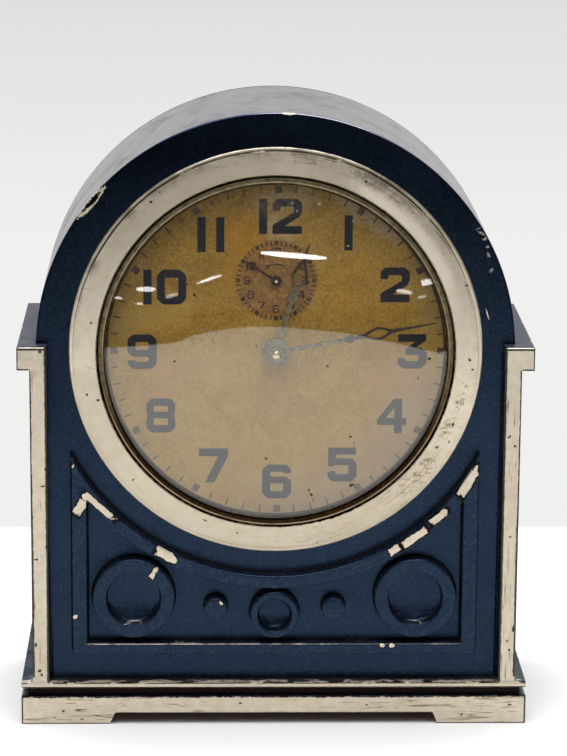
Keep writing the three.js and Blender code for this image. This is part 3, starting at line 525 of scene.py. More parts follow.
def enamel_look():
    """Panel and arch: enamel, chipped along the edge of the arch, with painted shade high on the front and a painted
    highlight along the arch edge.
    """
    L = Look("case_enamel")
    n1 = L.noise(0.85, 5, 0.7)
    wob = L.sub(n1, 0.5)
    nx, ny, nz = facing(L)
    chips = [(49.1, 98.4, 1.5, 0.13, -74, False), (34.4, 16.2, 0.22, 0.2, 0, False)]
    scrapes = [(47.3, 117.6, 0.9, 0.30, -30, False), (48.1, 116.2, 0.6, 0.30, 30, False), (49.0, 112.4, 0.7, 0.40, -70, False), (49.8, 108.9, 0.9, 0.35, 50, False), (48.7, 114.4, 0.4, 0.25, 0, False), (46.4, 118.6, 0.5, 0.2, 20, False)]
    d = L.spots(L.mul(wob, 1.35), chips)
    front = L.mul(L.ramp(L.y, 7.0, 5.5), L.ramp(ny, -0.30, -0.55))
    bare = L.mul(L.ramp(d, 1.05, 0.96), front)
    # dark rim round each chip: the broken paint edge, darkened further as painted shadow of the paint step
    edge = L.mul(L.mul(L.ramp(d, 0.92, 1.06), L.ramp(d, 1.45, 1.18)), front)
    rubbed = L.ramp(L.spots(L.mul(wob, 3.0), scrapes), 1.30, 0.45)
    bare = L.most(bare, L.mul(L.mul(rubbed, L.ramp(L.noise(2.4, 4, 0.7), 0.40, 0.58, 0.1, 0.62)), front))
    # long worn patch on the edge of the arch at the left: rim of metal round dark primer
    patch = L.spots(L.mul(wob, 1.1), [(-42.6, 124.6, 4.6, 0.95, 49, False)])
    ring = L.mul(L.ramp(patch, 1.06, 0.98), L.ramp(L.add(patch, L.mul(wob, 0.9)), 0.50, 0.66))
    bare = L.most(bare, L.mul(ring, L.ramp(L.y, 7.0, 6.0)))
    edge = L.most(edge, L.mul(L.mul(L.ramp(patch, 1.3, 1.1), L.sub(1.0, ring)), L.ramp(L.y, 6.0, 5.0)))
    # nicks along the front edge of the arch
    top = L.mul(L.ramp(L.spots(L.mul(wob, 0.8), [(2.6, 145.3, 1.5, 0.45, 0, False)]), 1.05, 0.9), L.ramp(L.y, 5.4, 4.9))
    bare = L.most(bare, top)
    # rubbed rear rim
    rear = L.mul(L.ramp(L.add(L.y, L.mul(wob, 0.9)), 50.50, 50.72), L.ramp(L.noise(0.21, 3, 0.6, 0.3), 0.655, 0.685))
    bare = L.most(bare, L.mul(rear, 0.92))
    # painted shade: thin dark, dull line along the rear edge of the arch
    shade = L.mul(L.mul(L.ramp(L.add(L.y, L.mul(wob, 0.5)), 49.55, 49.90), L.ramp(ny, 0.60, 0.30)), L.mul(L.ramp(L.z, 92, 98), L.sub(1.0, rear)))
    # painted shade: the front is painted darker the higher it is; painted highlight: a light line painted on the
    # rounded edge of the arch
    height = L.sub(L.sub(L.add(L.z, L.mul(L.x, -0.10)), ZC), L.ramp(L.x, 22, 46, 0.0, 6.0))
    painted_shade = L.add(L.add(L.ramp(height, -42, 4, 0.0, 0.46), L.ramp(height, 0, 26, 0.0, 0.14)), L.ramp(height, 39, 50, 0.0, 0.17))
    painted_shade = L.mul(painted_shade, L.ramp(L.noise(1.3, 5, 0.85), 0.40, 0.62, 1.05, 0.88))
    painted_shade = L.mul(painted_shade, L.mul(L.ramp(ny, -0.55, -0.85), L.ramp(L.y, 6.0, 5.3)))
    # painted highlight: a light line on the rounded front edge of the arch, strongest at the top right
    rim = L.mul(L.mul(L.ramp(ny, -0.93, -0.80), L.ramp(ny, -0.22, -0.40)), L.mul(L.ramp(L.y, 6.2, 5.6), L.ramp(L.z, 84, 92)))
    highlight_strength = L.mul(L.ramp(L.x, -9, 1), L.ramp(L.x, 34, 20))
    return worn(L, bare, edge, 0.0, L.ramp(L.y, 4.5, 5.0), 0.0, 0.0, painted_shade, (rim, L.mix(highlight_strength, (0.020, 0.022, 0.062), (0.24, 0.25, 0.30))), shade=shade)


def relief_look():
    """Raised frame and bosses: enamel with chips where the metal shows."""
    L = Look("case_relief")
    n1 = L.noise(0.85, 5, 0.7)
    wob = L.sub(n1, 0.5)
    nx, ny, nz = facing(L)
    chips = [
        (-45.5, 53.1, 2.0, 1.05, 58, True),
        (-41.2, 53.4, 4.5, 0.72, -42, True),
        (-44.2, 55.6, 1.1, 0.75, -25, False),
        (-25.8, 42.0, 2.1, 1.45, -27, True),
        (-24.0, 40.4, 1.1, 0.8, -40, False),
        (-28.9, 36.3, 1.1, 0.65, 58, False),
        (-28.0, 37.9, 0.85, 0.55, 50, False),
        (45.0, 58.9, 3.3, 1.05, 60, True),
        (46.6, 61.8, 1.6, 0.5, 66, False),
        (38.4, 50.8, 2.35, 0.85, 40, True),
        (32.7, 45.7, 3.2, 0.85, 36, True),
        (28.1, 42.8, 1.5, 0.85, 33, True),
        (-46.9, 26.4, 0.6, 0.5, 40, False),
        (25.5, 19.25, 0.65, 0.45, 0, False),
        (27.8, 19.2, 0.7, 0.5, 0, False),
        (-12.6, 29.7, 0.6, 0.32, -50, False),
        (-47.2, 63.0, 0.5, 0.22, 70, False),
        (-43.0, 19.85, 0.9, 0.26, 5, False),
    ]
    d = L.spots(L.mul(wob, 1.35), chips)
    front = L.ramp(ny, -0.30, -0.55)
    bare = L.mul(L.ramp(d, 1.05, 0.96), front)
    # dark rim round each chip: the broken paint edge, darkened further as painted shadow of the paint step
    edge = L.mul(L.mul(L.ramp(d, 0.92, 1.06), L.ramp(d, 1.45, 1.18)), front)
    # thin worn lines on the sills of the recess and of the round bosses, also a painted highlight where those edges
    # catch light
    sill_wear_highlight = L.spots(L.mul(wob, 2.2), [(-21.5, 19.62, 4.8, 0.10, 0, False), (-35.0, 19.60, 4.0, 0.05, 0, False), (-33.4, 24.62, 2.2, 0.12, 2, False), (33.6, 24.62, 1.7, 0.07, -3, False)])
    bare = L.most(bare, L.mul(L.ramp(sill_wear_highlight, 1.05, 0.7), 0.75))
    # thin light line along the sill of the recess: wear and painted highlight
    thin = L.mul(L.ramp(L.math("ABSOLUTE", L.sub(L.z, L.add(19.60, L.mul(wob, 0.10)))), 0.13, 0.05), L.mul(L.ramp(L.math("ABSOLUTE", L.x), 44.6, 43.8), L.ramp(L.y, 1.2, 0.9)))
    bare = L.most(bare, L.mul(thin, L.ramp(L.add(L.noise(0.22, 4, 0.65), L.mul(L.x, -0.0025)), 0.40, 0.60, 0.10, 0.62)))
    return worn(L, bare, edge, 0.0, 0.0)


def crevice_look():
    """Near-black foot of the raised work: grime, and painted shade where the crevices lie in shadow."""
    L = Look("case_crevice_grime_shade")
    n = L.noise(0.9, 4, 0.65)
    c = L.mix(L.ramp(n, 0.35, 0.70), (0.0010, 0.0012, 0.0018), (0.0034, 0.0042, 0.0058))
    L.set(color=c, rough=L.lerp(n, 0.55, 0.8), normal=L.bump(n, 0.03, 0.6))
    L.bsdf.inputs["Specular IOR Level"].default_value = 0.10
    return L.mat


def trim_look():
    """Pilasters, capitals and ledge: their front faces are rubbed down to the metal."""
    L = Look("case_trim")
    n1 = L.noise(0.75, 5, 0.68)
    n2 = L.noise(0.16, 3, 0.6)
    n3 = L.noise(1.6, 4, 0.65)
    jag = L.add(L.mul(L.sub(n1, 0.5), 0.9), L.mul(L.sub(n2, 0.5), 0.5))
    depth = L.add(L.y, L.mul(jag, 0.7))
    ax = L.math("ABSOLUTE", L.x)
    bare = L.ramp(depth, 0.36, 0.24)
    dark = L.mul(L.ramp(depth, 0.16, 0.30), L.ramp(depth, 1.1, 0.7))
    # paint left along the edges of the pilasters and under the tops of the capitals; along the inner edges the dark
    # band is widened as painted shade beside the recessed panel
    shaft = L.mul(L.ramp(L.z, 10.3, 10.6), L.ramp(L.z, 86.3, 85.7))
    side = L.ramp(L.add(L.add(ax, L.mul(jag, 0.70)), L.ramp(L.z, 66, 40, 0.0, 0.17)), 56.62, 56.80)
    inner = L.mul(L.ramp(L.sub(ax, L.mul(jag, 0.60)), 53.72, 53.52), L.ramp(L.z, 10.15, 10.35))
    crown = L.mul(L.ramp(L.add(L.z, L.mul(jag, 0.30)), 90.62, 90.78), L.ramp(L.z, 91.30, 91.12))
    lip = L.mul(L.ramp(L.add(ax, L.mul(jag, 0.4)), 59.62, 59.78), L.ramp(L.z, 85.7, 86.0))
    under = L.mul(L.ramp(L.sub(L.z, L.mul(jag, 0.30)), 86.42, 86.25), L.mul(L.ramp(ax, 57.0, 57.3), L.ramp(L.z, 85.0, 85.8)))
    front = L.ramp(L.y, 0.9, 0.5)
    line = L.mul(L.most(L.most(L.mul(side, L.mul(shaft, L.ramp(L.z, 11.3, 11.8))), inner), L.most(crown, L.most(lip, under))), front)
    # ledge: a ragged dark line along the front, broken bright edge above it
    led = L.ramp(L.z, 10.6, 10.3)
    gap = L.math("ABSOLUTE", L.sub(L.z, L.add(10.06, L.mul(jag, 0.22))))
    split = L.mul(L.mul(L.ramp(gap, 0.17, 0.07), led), L.ramp(L.noise(0.25, 4, 0.65), 0.38, 0.48))
    worn_edge = L.ramp(L.noise(1.0, 4, 0.7, 0.2, L.stretched(0.13, 0.3, 0.6)), 0.450, 0.480)
    high = L.mul(L.ramp(L.z, 10.07, 10.11), led)
    chip = L.mul(L.mul(high, worn_edge), L.ramp(L.add(L.y, L.mul(jag, 2.2)), 2.3, 1.9))
    low_face = L.mul(L.mul(L.ramp(L.z, 10.10, 10.06), led), L.ramp(L.y, 0.5, 0.3))
    bare = L.most(L.mul(L.most(bare, low_face), L.sub(1.0, high)), chip)
    dark = L.mul(L.mul(dark, L.sub(1.0, chip)), L.sub(1.0, low_face))
    # where shaft and ledge meet there is no edge
    foot = L.mul(L.ramp(ax, 53.3, 53.6), L.ramp(ax, 58.5, 58.2))
    plain = L.mul(foot, L.mul(led, L.ramp(L.y, 0.2, 0.1)))
    bare = L.most(bare, plain)
    dark = L.mul(dark, L.sub(1.0, plain))
    split = L.mul(split, L.math("MULTIPLY_ADD", plain, -0.8, 1.0))
    # rubbed edges at the sides and the back
    rare = L.ramp(L.noise(0.2, 3, 0.6, 0.3), 0.635, 0.665)
    rims = L.most(L.ramp(L.add(L.z, L.mul(jag, 0.5)), CAP_Z1 - 0.42, CAP_Z1 - 0.25), L.ramp(L.sub(L.z, L.mul(jag, 0.4)), CAP_Z0 + 0.30, CAP_Z0 + 0.16))
    rims = L.mul(rims, L.mul(L.ramp(ax, 59.50, 59.70), L.ramp(L.z, 85.5, 86.0)))
    rims = L.most(rims, L.ramp(L.add(L.y, L.mul(jag, 0.5)), 50.52, 50.72))
    bare = L.most(bare, L.mul(L.mul(rims, rare), L.ramp(L.y, 1.2, 1.6)))
    pits = [
        (-54.5, 90.4, 0.45, 0.35, 0, False), (-55.4, 13.2, 0.55, 0.35, 30, False), (-54.9, 12.2, 0.5, 0.25, -50, False),
        (55.8, 68.0, 0.4, 0.32, 0, False), (54.4, 70.2, 0.6, 0.25, 40, False), (56.5, 23.4, 0.45, 0.9, 0, False),
        (55.2, 46.0, 0.35, 0.3, 0, False), (-55.9, 40.6, 0.5, 0.25, 10, False), (-54.2, 58.3, 0.6, 0.2, 0, False),
        (-56.2, 19.6, 0.3, 0.6, 0, False), (55.0, 20.4, 0.25, 0.4, 0, False), (55.6, 18.2, 0.3, 0.35, 0, False),
    ]
    p = L.mul(L.ramp(L.spots(L.mul(L.sub(n3, 0.5), 1.3), pits), 1.05, 0.8), front)
    grain = L.noise(1.0, 4, 0.65, 0.5, L.stretched(2.4, 1, 0.10))
    rub = L.mul(L.mul(L.ramp(grain, 0.54, 0.64), L.ramp(L.add(L.noise(0.09, 2, 0.5), L.mul(L.x, 0.0008)), 0.44, 0.60)), shaft)
    return worn(L, bare, L.most(L.most(L.most(dark, line), split), L.mul(p, bare)), 0.06, 0.7, 0.0, 0.65, scuff=L.most(L.mul(rub, 0.80), L.mul(L.mul(L.ramp(L.x, -52, -53), L.ramp(L.z, 84, 85.5)), L.ramp(n1, 0.30, 0.70, 0.0, 0.22))), matte=L.mul(L.mul(chip, L.sub(1.0, split)), 0.85))


def plinth_look():
    """Plinth: bare front with dark scratches, enamel on the sides and on the neck."""
    L = Look("plinth_metal")
    n1 = L.noise(0.8, 5, 0.7)
    n2 = L.noise(0.14, 3, 0.6)
    n3 = L.noise(1.9, 4, 0.65)
    jag = L.add(L.mul(L.sub(n1, 0.5), 1.0), L.mul(L.sub(n2, 0.5), 0.5))
    depth = L.add(L.y, L.mul(jag, 0.6))
    ax = L.math("ABSOLUTE", L.x)
    low = L.ramp(L.add(L.z, L.mul(jag, 1.1)), 6.72, 6.58)
    bare = L.mul(L.ramp(depth, 0.42, 0.28), low)
    edge = L.mul(L.ramp(depth, 0.20, 0.34), L.ramp(depth, 1.1, 0.75))
    front = L.ramp(L.y, 0.9, 0.5)
    # dark line along the bottom edge, which steps up over the foot cut-out
    lift = L.ramp(ax, 38.5, 37.6, 0.0, 2.6)
    hem = L.ramp(L.sub(L.sub(L.z, lift), L.mul(jag, 0.35)), 0.34, 0.18)
    ends = L.ramp(L.add(ax, L.mul(jag, 0.4)), 59.30, 59.48)
    # dark, broken line along the top edge: paint left there, darkened as painted shadow under the ledge
    crown = L.mul(L.ramp(L.add(L.z, L.mul(jag, 1.1)), 6.40, 6.62), L.ramp(L.noise(0.3, 3, 0.6), 0.40, 0.52))
    # long brown scratches
    gouge = L.noise(1.0, 5, 0.68, 0.9, L.stretched(0.10, 1, 1.35, 3))
    marks = L.mul(L.ramp(gouge, 0.555, 0.63), L.ramp(L.noise(0.06, 2, 0.5), 0.38, 0.58, 0.35, 1.0))
    chipped = L.mul(L.ramp(L.noise(0.5, 5, 0.7, 0.5), 0.60, 0.66), L.ramp(L.math("ABSOLUTE", L.sub(L.z, 3.2)), 2.2, 3.1))
    pits = [(-49.9, 3.2, 0.38, 0.30, 30, False), (-45.5, 1.2, 0.45, 0.16, 0, False), (-52.0, 1.6, 0.4, 0.12, 20, False), (44.6, 2.2, 0.35, 0.28, 0, False), (56.0, 4.6, 0.5, 0.25, 0, False), (-8.0, 5.1, 0.4, 0.25, 0, False), (22.0, 4.6, 0.3, 0.25, 0, False)]
    p = L.ramp(L.spots(L.mul(L.sub(n3, 0.5), 1.2), pits), 1.05, 0.8)
    line = L.mul(L.most(L.most(hem, ends), crown), front)
    neck = L.ramp(L.z, 6.92, 7.02)
    return worn(L, bare, L.most(L.most(L.most(edge, neck), line), L.most(L.mul(L.ramp(gouge, 0.65, 0.70), 0.7), p)), 0.0, 0.5, 1.0, scuff=L.most(L.mul(marks, 0.85), L.mul(chipped, 0.9)))


def ring_look():
    """Ring round the dial: bare on its face, enamel left in the groove and along the edges."""
    L = Look("ring_metal")
    rel = L.vec("MULTIPLY", L.vec("SUBTRACT", L.co, (0, 0, ZC)), (1, 0, 1))
    r = L.vec("LENGTH", rel)
    s = L.node("ShaderNodeSeparateXYZ")
    L.put(s.inputs[0], rel)
    up = L.math("DIVIDE", s.outputs[2], L.most(r, 1.0))
    side = L.math("DIVIDE", s.outputs[0], L.most(r, 1.0))
    # distance along the ring from the top, and across it
    run = L.mul(L.math("ARCTAN2", s.outputs[0], s.outputs[2]), 45.0)
    flat = L.node("ShaderNodeCombineXYZ")
    L.put(flat.inputs[0], L.mul(run, 0.15))
    L.put(flat.inputs[1], L.mul(r, 1.5))
    L.put(flat.inputs[2], 0.0)
    along = flat.outputs[0]
    n1 = L.noise(0.8, 5, 0.68)
    n2 = L.noise(0.17, 3, 0.6)
    n3 = L.noise(1.9, 4, 0.65)
    jag = L.add(L.mul(L.sub(n1, 0.5), 1.1), L.mul(L.sub(n2, 0.5), 0.6))
    lower = L.ramp(up, 0.25, -0.45)
    lap = L.add(L.lerp(lower, -0.06, 0.14), jag)
    inner = L.ramp(L.sub(L.sub(r, RING_IN + 0.1), lap), -0.05, 0.05)
    outer = L.ramp(L.add(r, L.mul(jag, L.lerp(lower, 0.16, 0.42))), 48.08, 47.98)
    bare = L.mul(L.mul(inner, outer), L.ramp(L.y, 4.0, 3.7))
    # dark paint left in the groove, shown only in the upper half as painted shade of the groove
    groove = L.mul(L.ramp(L.math("ABSOLUTE", L.sub(r, L.add(47.22, L.mul(L.sub(n2, 0.5), 0.35)))), 0.30, 0.12), L.ramp(L.sub(up, L.mul(side, 0.16)), 0.16, 0.62, 0.0, 1.0))
    groove = L.mul(groove, L.ramp(L.noise(0.2, 4, 0.65), 0.30, 0.46, 0.25, 1.0))
    fine_line = L.mul(L.ramp(L.math("ABSOLUTE", L.sub(r, L.add(46.65, L.mul(jag, 0.3)))), 0.12, 0.03), L.mul(L.ramp(up, -0.1, 0.4), L.ramp(L.noise(0.25, 4, 0.65), 0.46, 0.56)))
    specks = [
        (-28.9, 125.0, 0.40, 0.32, 20, False), (20.4, 129.8, 0.36, 0.28, 0, False), (44.0, 105.5, 0.36, 0.30, 0, False),
        (-42.8, 96.7, 0.34, 0.30, 0, False), (-43.9, 79.6, 0.42, 0.33, 70, False), (-41.3, 78.4, 0.42, 0.36, 0, False),
        (-33.3, 59.1, 0.5, 0.16, 40, False), (-16.4, 49.4, 0.7, 0.16, -25, False), (-8.9, 46.3, 0.30, 0.18, 70, False),
        (37.8, 67.1, 0.5, 0.30, 30, False), (40.6, 68.3, 0.5, 0.20, 60, False), (45.0, 88.0, 0.5, 0.30, -40, False), (45.8, 85.6, 0.35, 0.25, 0, False), (41.5, 72.5, 0.5, 0.25, 80, False),
    ]
    p = L.ramp(L.spots(L.mul(L.sub(n3, 0.5), 1.1), specks), 1.05, 0.8)
    hatch = L.noise(1.0, 4, 0.7, 0.5, L.stretched(0.35, 1, 1.5, 38))
    hatch2 = L.noise(1.0, 4, 0.7, 0.5, L.stretched(1.5, 1, 0.30, 30))
    corner = L.ramp(L.spots(L.mul(L.sub(n2, 0.5), 0.8), [(33.6, 60.8, 7.0, 2.9, 47, False), (40.0, 71.5, 4.0, 1.8, 60, False), (43.4, 79.5, 4.6, 1.3, 74, False)]), 1.1, 0.6)
    scr = L.mul(corner, L.most(L.ramp(hatch, 0.53, 0.60), L.ramp(hatch2, 0.57, 0.63)))
    fibre = L.noise(1.0, 5, 0.7, 0.3, along)
    edge = L.most(L.most(L.most(groove, fine_line), p), L.most(L.mul(scr, 0.08), L.mul(L.sub(1.0, inner), L.ramp(r, 43.4, 42.9))))
    ec, er, eh = enamel_parts(L)
    bc, br, bh = bare_parts(L, -0.09)
    # darker, browner patina on the upper part, streaked along the ring at the upper right
    bc = L.mix(L.ramp(fibre, 0.52, 0.76, 0.0, 0.24), bc, (0.40, 0.34, 0.25))
    patina = L.mul(L.ramp(L.add(up, L.mul(side, 0.15)), 0.05, 0.85), L.ramp(L.noise(0.06, 3, 0.55), 0.30, 0.62, 0.55, 0.95))
    streak = L.mul(L.ramp(L.add(L.mul(up, 0.86), L.mul(side, 0.50)), 0.76, 0.97), L.ramp(L.add(L.mul(fibre, 0.5), L.add(L.mul(n1, 0.35), L.mul(L.sub(n2, 0.5), 0.7))), 0.36, 0.56))
    streak = L.mul(streak, L.ramp(L.add(r, L.mul(jag, 1.2)), 43.4, 45.6))
    patina = L.mul(patina, L.ramp(L.math("ABSOLUTE", side), 0.97, 0.78, 0.15, 1.0))
    bc = L.mix(L.mul(patina, 0.36), bc, (0.40, 0.33, 0.225))
    smudge = L.mul(L.mul(L.ramp(L.sub(up, L.mul(side, 0.18)), 0.30, 0.72), L.ramp(L.add(r, L.mul(jag, 1.6)), 44.6, 47.2)), L.ramp(L.noise(0.13, 4, 0.65, 0.4), 0.40, 0.62))
    bc = L.mix(L.mul(smudge, 0.60), bc, (0.185, 0.150, 0.102))
    bc = L.mix(L.mul(streak, 0.66), bc, (0.115, 0.094, 0.070))
    bc = L.mix(L.mul(L.mul(L.ramp(up, -0.45, -0.8), L.ramp(side, -0.35, 0.15)), L.ramp(fibre, 0.56, 0.66, 0.0, 0.6)), bc, (0.33, 0.255, 0.15))
    bc = L.mix(L.mul(L.ramp(up, -0.15, -0.75), 0.54), bc, (0.44, 0.375, 0.275))
    bc = L.mix(L.mul(L.mul(L.ramp(side, -0.70, -0.92), L.ramp(up, -0.04, -0.18)), 0.42), bc, (0.46, 0.395, 0.300))
    hair = L.node("ShaderNodeCombineXYZ")
    L.put(hair.inputs[0], L.mul(run, 0.11))
    L.put(hair.inputs[1], L.mul(r, 2.4))
    L.put(hair.inputs[2], 3.7)
    brown = L.mul(L.mul(L.ramp(up, -0.35, -0.66), L.ramp(side, -0.16, 0.22)), L.ramp(L.noise(1.0, 5, 0.75, 0.4, hair.outputs[0]), 0.53, 0.65, 0.0, 0.70))
    bc = L.mix(brown, bc, (0.27, 0.195, 0.105))
    bc = L.mix(L.mul(scr, 0.70), bc, (0.205, 0.145, 0.080))
    pale = L.mul(L.ramp(L.add(r, L.mul(jag, 2.6)), 45.5, 43.4), L.ramp(up, 0.10, 0.50))
    pale = L.mul(pale, L.ramp(L.add(side, L.mul(L.sub(n2, 0.5), 0.4)), 0.30, 0.52, 0.05, 0.80))
    bc = L.mix(L.mul(pale, 0.70), bc, (0.84, 0.750, 0.605))
    c = L.mix(bare, ec, bc)
    c = L.mix(L.mul(edge, 0.88), c, (0.014, 0.009, 0.006))
    rough = L.lerp(bare, er, L.add(br, L.mul(streak, 0.12)))
    metal = L.most(L.mul(bare, L.lerp(pale, 0.92, 0.35)), edge)
    height = L.lerp(bare, L.mul(eh, 0.5), L.sub(L.mul(bh, 0.6), L.add(1.3, edge)))
    return finish_worn(L, c, rough, metal, height)


def metal_look(name, light, dark, rough=(0.28, 0.46), grain=0.5, stain=0.35, spots=0.4, bump=0.02, metal=0.95, brushed=None):
    """Plain metal with cloudy tone, fine brushing and tarnish specks."""
    L = Look(name)
    mid = L.noise(grain, 5, 0.62)
    big = L.noise(grain * 0.2, 3, 0.6)
    c = L.mix(L.ramp(mid, 0.34, 0.68), light, dark)
    c = L.mix(L.ramp(big, 0.50, 0.78, 0.0, stain), c, tuple(x * 0.45 for x in dark))
    d, cell = L.cells(grain * 1.4)
    s = L.node("ShaderNodeSeparateColor")
    L.put(s.inputs[0], cell)
    sp = L.mul(L.ramp(d, 0.22, 0.12), L.ramp(s.outputs[0], 0.80, 0.88))
    c = L.mix(L.mul(sp, spots), c, tuple(x * 0.25 for x in dark))
    lines = L.noise(1.0, 3, 0.6, 0.2, L.stretched(*(brushed or (0.3, 3.0, 3.0))))
    r = L.add(L.lerp(mid, rough[0], rough[1]), L.mul(L.sub(lines, 0.5), 0.16))
    h = L.add(L.mul(mid, 0.6), L.mul(lines, 0.5))
    L.set(color=c, rough=r, metal=metal, normal=L.bump(h, bump, 0.8))
    return L.mat


def sight_look():
    """Brass ring that holds the glass, gone olive brown, darker and rustier below."""
    L = Look("sight_ring_brass")
    mid = L.noise(0.7, 5, 0.65)
    r = L.vec("LENGTH", L.vec("MULTIPLY", L.vec("SUBTRACT", L.co, (0, 0, ZC)), (1, 0, 1)))
    low = L.ramp(L.z, 96, 66)
    c = L.mix(L.ramp(mid, 0.35, 0.68), (0.175, 0.148, 0.085), (0.075, 0.060, 0.030))
    c = L.mix(L.mul(low, L.ramp(L.noise(0.5, 5, 0.7), 0.36, 0.60, 0.75, 1.0)), c, (0.072, 0.037, 0.011))
    # below, grime covers the ring; a light line along its outer edge is a painted highlight
    under = L.ramp(L.z, 86, 64)
    crust = L.mul(under, L.ramp(L.add(r, L.mul(L.sub(mid, 0.5), 0.30)), 40.80, 40.66))
    c = L.mix(L.mul(crust, L.ramp(L.noise(1.5, 5, 0.75), 0.42, 0.62, 0.95, 0.35)), c, (0.011, 0.006, 0.0022))
    rim = L.mul(under, L.mul(L.ramp(r, 40.72, 40.82), L.ramp(r, 41.10, 41.04)))
    c = L.mix(L.mul(rim, L.ramp(L.noise(0.25, 4, 0.6), 0.36, 0.52, 0.45, 0.90)), c, (0.34, 0.265, 0.175))
    # painted highlight: a light line on the inner lip, on the upper part
    lip = L.mul(L.ramp(L.math("ABSOLUTE", L.sub(r, 40.22)), 0.16, 0.06), L.ramp(L.noise(0.3, 3, 0.6), 0.38, 0.55, 0.3, 1.0))
    c = L.mix(L.mul(lip, L.ramp(L.z, 70, 96, 0.0, 0.8)), c, (0.36, 0.285, 0.165))
    seam = L.ramp(L.math("ABSOLUTE", L.sub(r, 39.85)), 0.16, 0.05)
    c = L.mix(L.mul(seam, 0.85), c, (0.010, 0.007, 0.004))
    foot = L.ramp(L.add(r, L.mul(L.sub(mid, 0.5), 0.4)), 39.20, 39.08)
    c = L.mix(L.mul(foot, 0.75), c, (0.012, 0.008, 0.005))
    h = L.noise(1.6, 4, 0.6)
    L.set(color=c, rough=L.lerp(mid, 0.34, 0.56), metal=0.97, normal=L.bump(h, 0.03, 0.8))
    return L.mat


